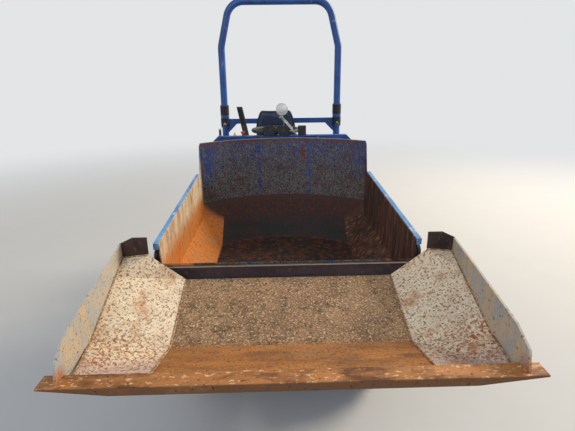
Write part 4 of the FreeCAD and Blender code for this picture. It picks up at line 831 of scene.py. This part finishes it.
shape = bmesh.new()
put_disc(shape, LAMP + Vector((0, -0.0005, 0)), ALONG, 0.039, 0.003, segments=48)
for i in range(-6, 7):
    x = i * RIB_PITCH
    half = math.sqrt(RIB_REACH ** 2 - x * x)
    sweep(shape, [LAMP + Vector((x, -0.0022, -half)), LAMP + Vector((x, -0.0022, half))], 0.0011, sides=6)
settle("work_lamp_lens", shape, lamp_lens)

shape = bmesh.new()
put_disc(shape, (-0.008, 0.513, 1.507), ALONG, 0.016, 0.006, segments=24)
put_disc(shape, (-0.008, 0.506, 1.507), ALONG, 0.006, 0.010, segments=16)
put_block(shape, (-0.022, 0.500, 1.5045), (0.006, 0.503, 1.5095))
for radius, run in BRACES:
    sweep(shape, run, radius, step=0.012)
for place, reach, height in (((0.104, 0.523, 1.375), 0.009, 0.006), ((-0.004, 0.523, 1.375), 0.007, 0.006),
                             ((-0.030, 0.517, 1.376), 0.008, 0.008)):
    put_disc(shape, place, UPWARD, reach, height, segments=6)
settle("work_lamp_clamp", shape, zinc_plate)
print("work lamp dressed")

# %% [markdown]
# Two black instrument pods stand on the top of the panel, with dials on the driver's side. A pod is a flat
# arch: its outline is a rounded rectangle, drawn out along the machine, with a rubber bead round the edge.

# %% Instrument pods
POD_FRONT, POD_BACK, POD_TOP, POD_CORNER = 0.514, 0.552, 1.441, 0.024
PANEL_TOP, DIAL_Z = 1.372, 1.408


def arch(left, right, foot, top, corner, steps=6):
    """The outline of a rounded block, open at its foot, from the left foot to the right one."""
    points = [(left, foot)]
    for middle, start in ((left + corner, 2), (right - corner, 1)):
        for i in range(steps + 1):
            turn = 0.5 * math.pi * (start - i / steps)
            points.append((middle + corner * math.cos(turn), top - corner + corner * math.sin(turn)))
    return points + [(right, foot)]


cowl, bead, dial = bmesh.new(), bmesh.new(), bmesh.new()
for left, right in ((-0.142, -0.052), (-0.038, 0.053)):
    outline = arch(left, right, PANEL_TOP, POD_TOP, POD_CORNER)
    bridge(cowl, [[cowl.verts.new((x, y, z)) for x, z in outline] for y in (POD_FRONT, POD_BACK)])
    sweep(bead, [(x, POD_FRONT, z) for x, z in outline], 0.0024)
    sweep(bead, [(x, POD_BACK, z) for x, z in outline], 0.0018)
    middle = (left + right) / 2
    put_ring(bead, (middle, POD_BACK + 0.001, DIAL_Z), ALONG, 0.026, 0.003)
    put_disc(dial, (middle, POD_BACK + 0.0005, DIAL_Z), ALONG, 0.025, 0.002, segments=32)
settle("instrument_pods", cowl, black_moulding, smooth=False, bevel=0.002)
settle("instrument_beads", bead, soft_black)
settle("instrument_glasses", dial, lamp_lens)
print("instrument pods set")

# %% [markdown]
# Small things on the panel: a red stop knob and a yellow cap next to the lever, and a zinc cap on the post
# at its end. The driver's side has a turn switch, a key lock, three toggle switches and four bolts below.

# %% Knobs and switches
KNOB_Y, SWITCH_Y, BOLT_Y = 0.530, 0.563, 0.560
SWITCH_Z, BOLT_Z = 1.300, 1.240
shape = bmesh.new()
put_disc(shape, (-0.300, KNOB_Y, 1.382), UPWARD, 0.007, 0.020, segments=16)
put_disc(shape, (-0.300, KNOB_Y, 1.398), UPWARD, 0.016, 0.014, segments=32, tip=0.013)
settle("stop_knob", shape, red_plastic, bevel=0.002, rounds=3)

shape = bmesh.new()
put_disc(shape, (-0.360, KNOB_Y, 1.384), UPWARD, 0.009, 0.024, tip=0.006)
settle("horn_cap", shape, yellow_plastic, bevel=0.0015, rounds=3)

shape = bmesh.new()
put_disc(shape, (-0.470, KNOB_Y, 1.4225), UPWARD, 0.0115, 0.010, tip=0.009)
put_ring(shape, (-0.470, KNOB_Y, 1.377), UPWARD, 0.011, 0.0025)
put_disc(shape, (-0.250, SWITCH_Y, SWITCH_Z), ALONG, 0.012, 0.006)
put_disc(shape, (0.060, SWITCH_Y, SWITCH_Z), ALONG, 0.014, 0.006)
for x in (0.140, 0.190, 0.240):
    put_disc(shape, (x, SWITCH_Y, SWITCH_Z), ALONG, 0.008, 0.006, segments=6)
    put_disc(shape, (x, 0.572, 1.303), (0, 1, 0.35), 0.0025, 0.022, segments=12, tip=0.0038)
for x in (-0.500, -0.280, 0.280, 0.500):
    put_bolt(shape, (x, BOLT_Y, BOLT_Z), ALONG, 0.009)
settle("panel_metal", shape, zinc_plate, smooth=False, bevel=0.0006, angle=50)

shape = bmesh.new()
put_block(shape, (0.050, 0.565, 1.296), (0.070, 0.585, 1.304))
put_block(shape, (-0.262, 0.566, 1.2975), (-0.238, 0.5755, 1.3025))
settle("key_and_turn_switch", shape, black_moulding, smooth=False, bevel=0.0012)
print("panel fitted out")

# %% [markdown]
# The steering wheel has a hub cap with three small screws. The control lever carries a ribbed rubber grip
# at its head and a pleated boot at its foot.

# %% Wheel hub, lever grip and boot
HUB, SCREW_CIRCLE = Vector((-0.05, 0.73, 1.396)), 0.018
LEVER_FOOT, LEVER_HEAD = Vector((-0.125, 0.695, 0.566)), Vector((-0.330, 0.695, 1.576))
RIBS, RIB_STEP, PLEATS = 9, 0.0145, 5

shape = bmesh.new()
put_disc(shape, HUB, UPWARD, 0.034, 0.010, segments=40, tip=0.030)
put_disc(shape, HUB + Vector((0, 0, 0.007)), UPWARD, 0.026, 0.006, segments=40, tip=0.022)
for turn in (0.5, 2.6, 4.7):
    screw = HUB + Vector((SCREW_CIRCLE * math.cos(turn), SCREW_CIRCLE * math.sin(turn), 0.011))
    put_disc(shape, screw, UPWARD, 0.003, 0.004, segments=6)
settle("wheel_hub", shape, black_moulding, bevel=0.0012, angle=50)

shape = bmesh.new()
slope = (LEVER_HEAD - LEVER_FOOT).normalized()
aim = slope.to_track_quat("Z", "Y").to_matrix().to_4x4()
for i in range(RIBS):
    place = LEVER_HEAD - slope * (0.012 + RIB_STEP * i)
    block = put_block(shape, (-0.0262, -0.0145, -0.0062), (0.0262, 0.0145, 0.0062))
    bmesh.ops.transform(shape, matrix=Matrix.Translation(place) @ aim, verts=block)
for i in range(PLEATS):
    place = (-0.125 - 0.003 * i, 0.695, 0.575 + 0.014 * i)
    reach = 0.052 - 0.006 * i
    put_disc(shape, place, UPWARD, reach, 0.013, segments=32, tip=reach - 0.007)
settle("lever_grip_and_boot", shape, soft_black, smooth=False, bevel=0.0022, rounds=3)
print("lever and wheel dressed")

# %% [markdown]
# The hood over the engine is pressed sheet, with a row of raised louvres on each side and a rubber latch at
# both ends of the row. The stack has two bands and a hinged rain cap.

# %% Hood and stack
LOUVRES, FIRST_LOUVRE, LOUVRE_PITCH = 8, 1.00, 0.052
SHEET_X, CREST_X, LATCH_X = 0.329, 0.341, 0.335
STACK_X, STACK_Y = 0.28, 1.525


def louvre_ring(shape, x, front, back, low, high):
    """The four corners of an upright rectangle that looks sideways."""
    corners = (x, front, low), (x, back, low), (x, back, high), (x, front, high)
    return [shape.verts.new(corner) for corner in corners]


shape = bmesh.new()
for side in (-1, 1):
    for i in range(LOUVRES):
        y = FIRST_LOUVRE + LOUVRE_PITCH * i
        base = louvre_ring(shape, side * SHEET_X, y - 0.004, y + 0.034, 0.66, 0.82)
        crest = louvre_ring(shape, side * CREST_X, y + 0.026, y + 0.030, 0.668, 0.812)
        bridge(shape, [base, crest])
settle("hood_louvres", shape, blue_enamel, smooth=False, bevel=0.0016)

shape = bmesh.new()
for side in (-1, 1):
    for y in (0.90, 1.54):
        x = side * LATCH_X
        put_block(shape, (x - 0.006, y - 0.013, 0.700), (x + 0.006, y + 0.013, 0.790))
        put_disc(shape, (side * 0.343, y, 0.782), ACROSS, 0.009, 0.006, segments=16)
settle("hood_latches", shape, soft_black, smooth=False, bevel=0.002)

shape = bmesh.new()
put_disc(shape, (STACK_X, STACK_Y, 1.243), (0.12, 0, 1), 0.027, 0.003, segments=32)
put_block(shape, (0.249, 1.517, 1.225), (0.256, 1.533, 1.250))
put_ring(shape, (STACK_X, STACK_Y, 1.10), UPWARD, 0.0262, 0.0022)
put_ring(shape, (STACK_X, STACK_Y, 0.930), UPWARD, 0.0268, 0.0030)
settle("stack_cap_and_bands", shape, engine_iron)
print("hood dressed")

# %% [markdown]
# The tail weight has slanted corners, and on each sit a red lamp, an amber one and a small round reflector,
# one above the other in black rims. A blank plate is screwed to the hood's rear face above the weight.

# %% Tail
SLANT, SLANT_OUT = Vector((0.390, 1.6725, 0)), Vector((0.676, 0.737, 0))
PLATE_FRONT, PLATE_BACK = 1.585, 1.588
shape, red, amber = bmesh.new(), bmesh.new(), bmesh.new()
for side in (-1, 1):
    flip = Vector((side, 1, 1))
    out = SLANT_OUT * flip
    for z, reach, lens in ((0.715, 0.026, red), (0.640, 0.026, amber), (0.570, 0.018, red)):
        place = (SLANT + Vector((0, 0, z))) * flip
        put_disc(lens, place + out * 0.005, out, reach, 0.010, segments=40, tip=reach - 0.004)
        put_ring(shape, place + out * 0.003, out, reach + 0.002, 0.004, segments=40)
settle("tail_lamp_rims", shape, black_moulding)
settle("tail_red_lenses", red, red_lens, bevel=0.001, angle=50)
settle("tail_amber_lenses", amber, amber_lens, bevel=0.001, angle=50)

shape = bmesh.new()
put_block(shape, (-0.130, PLATE_FRONT, 0.792), (0.130, PLATE_BACK, 0.872))
for x in (-0.115, 0.115):
    put_bolt(shape, (x, PLATE_BACK, 0.832), ALONG, 0.006)
settle("blank_plate", shape, white_plastic, smooth=False, bevel=0.0006)
print("tail dressed")

# %% [markdown]
# The driver stands and sits over a bare steel deck. It is stamped with rows of short raised bars that point
# in turn to the left and to the right, between the console and the hood. Two pedals stand on it, one on
# each side of the console.

# %% Deck tread and pedals
ROWS, COLUMNS = 8, 17
TREAD_Z, BAR_HALF, BAR_LEAN = 0.5665, 0.011, 0.011
shape = bmesh.new()
for row in range(ROWS):
    for column in range(COLUMNS):
        x, y = -0.48 + 0.06 * column, 0.715 + 0.018 * row
        lean = BAR_LEAN if (row + column) % 2 else -BAR_LEAN
        ends = [(x - BAR_HALF, y - lean / 2, TREAD_Z), (x + BAR_HALF, y + lean / 2, TREAD_Z)]
        sweep(shape, ends, 0.0022, sides=6)
settle("deck_tread", shape, deck_steel)

shape = bmesh.new()
for x in (-0.24, 0.24):
    sweep(shape, [(x, 0.575, 0.567), (x, 0.590, 0.640), (x, 0.640, 0.668)], 0.007)
    put_block(shape, (x - 0.032, 0.616, 0.664), (x + 0.032, 0.690, 0.671))
    for i in range(5):
        put_block(shape, (x - 0.028, 0.622 + 0.013 * i, 0.670), (x + 0.028, 0.628 + 0.013 * i, 0.674))
settle("pedals", shape, black_moulding, smooth=False, bevel=0.0015)
print("deck dressed")
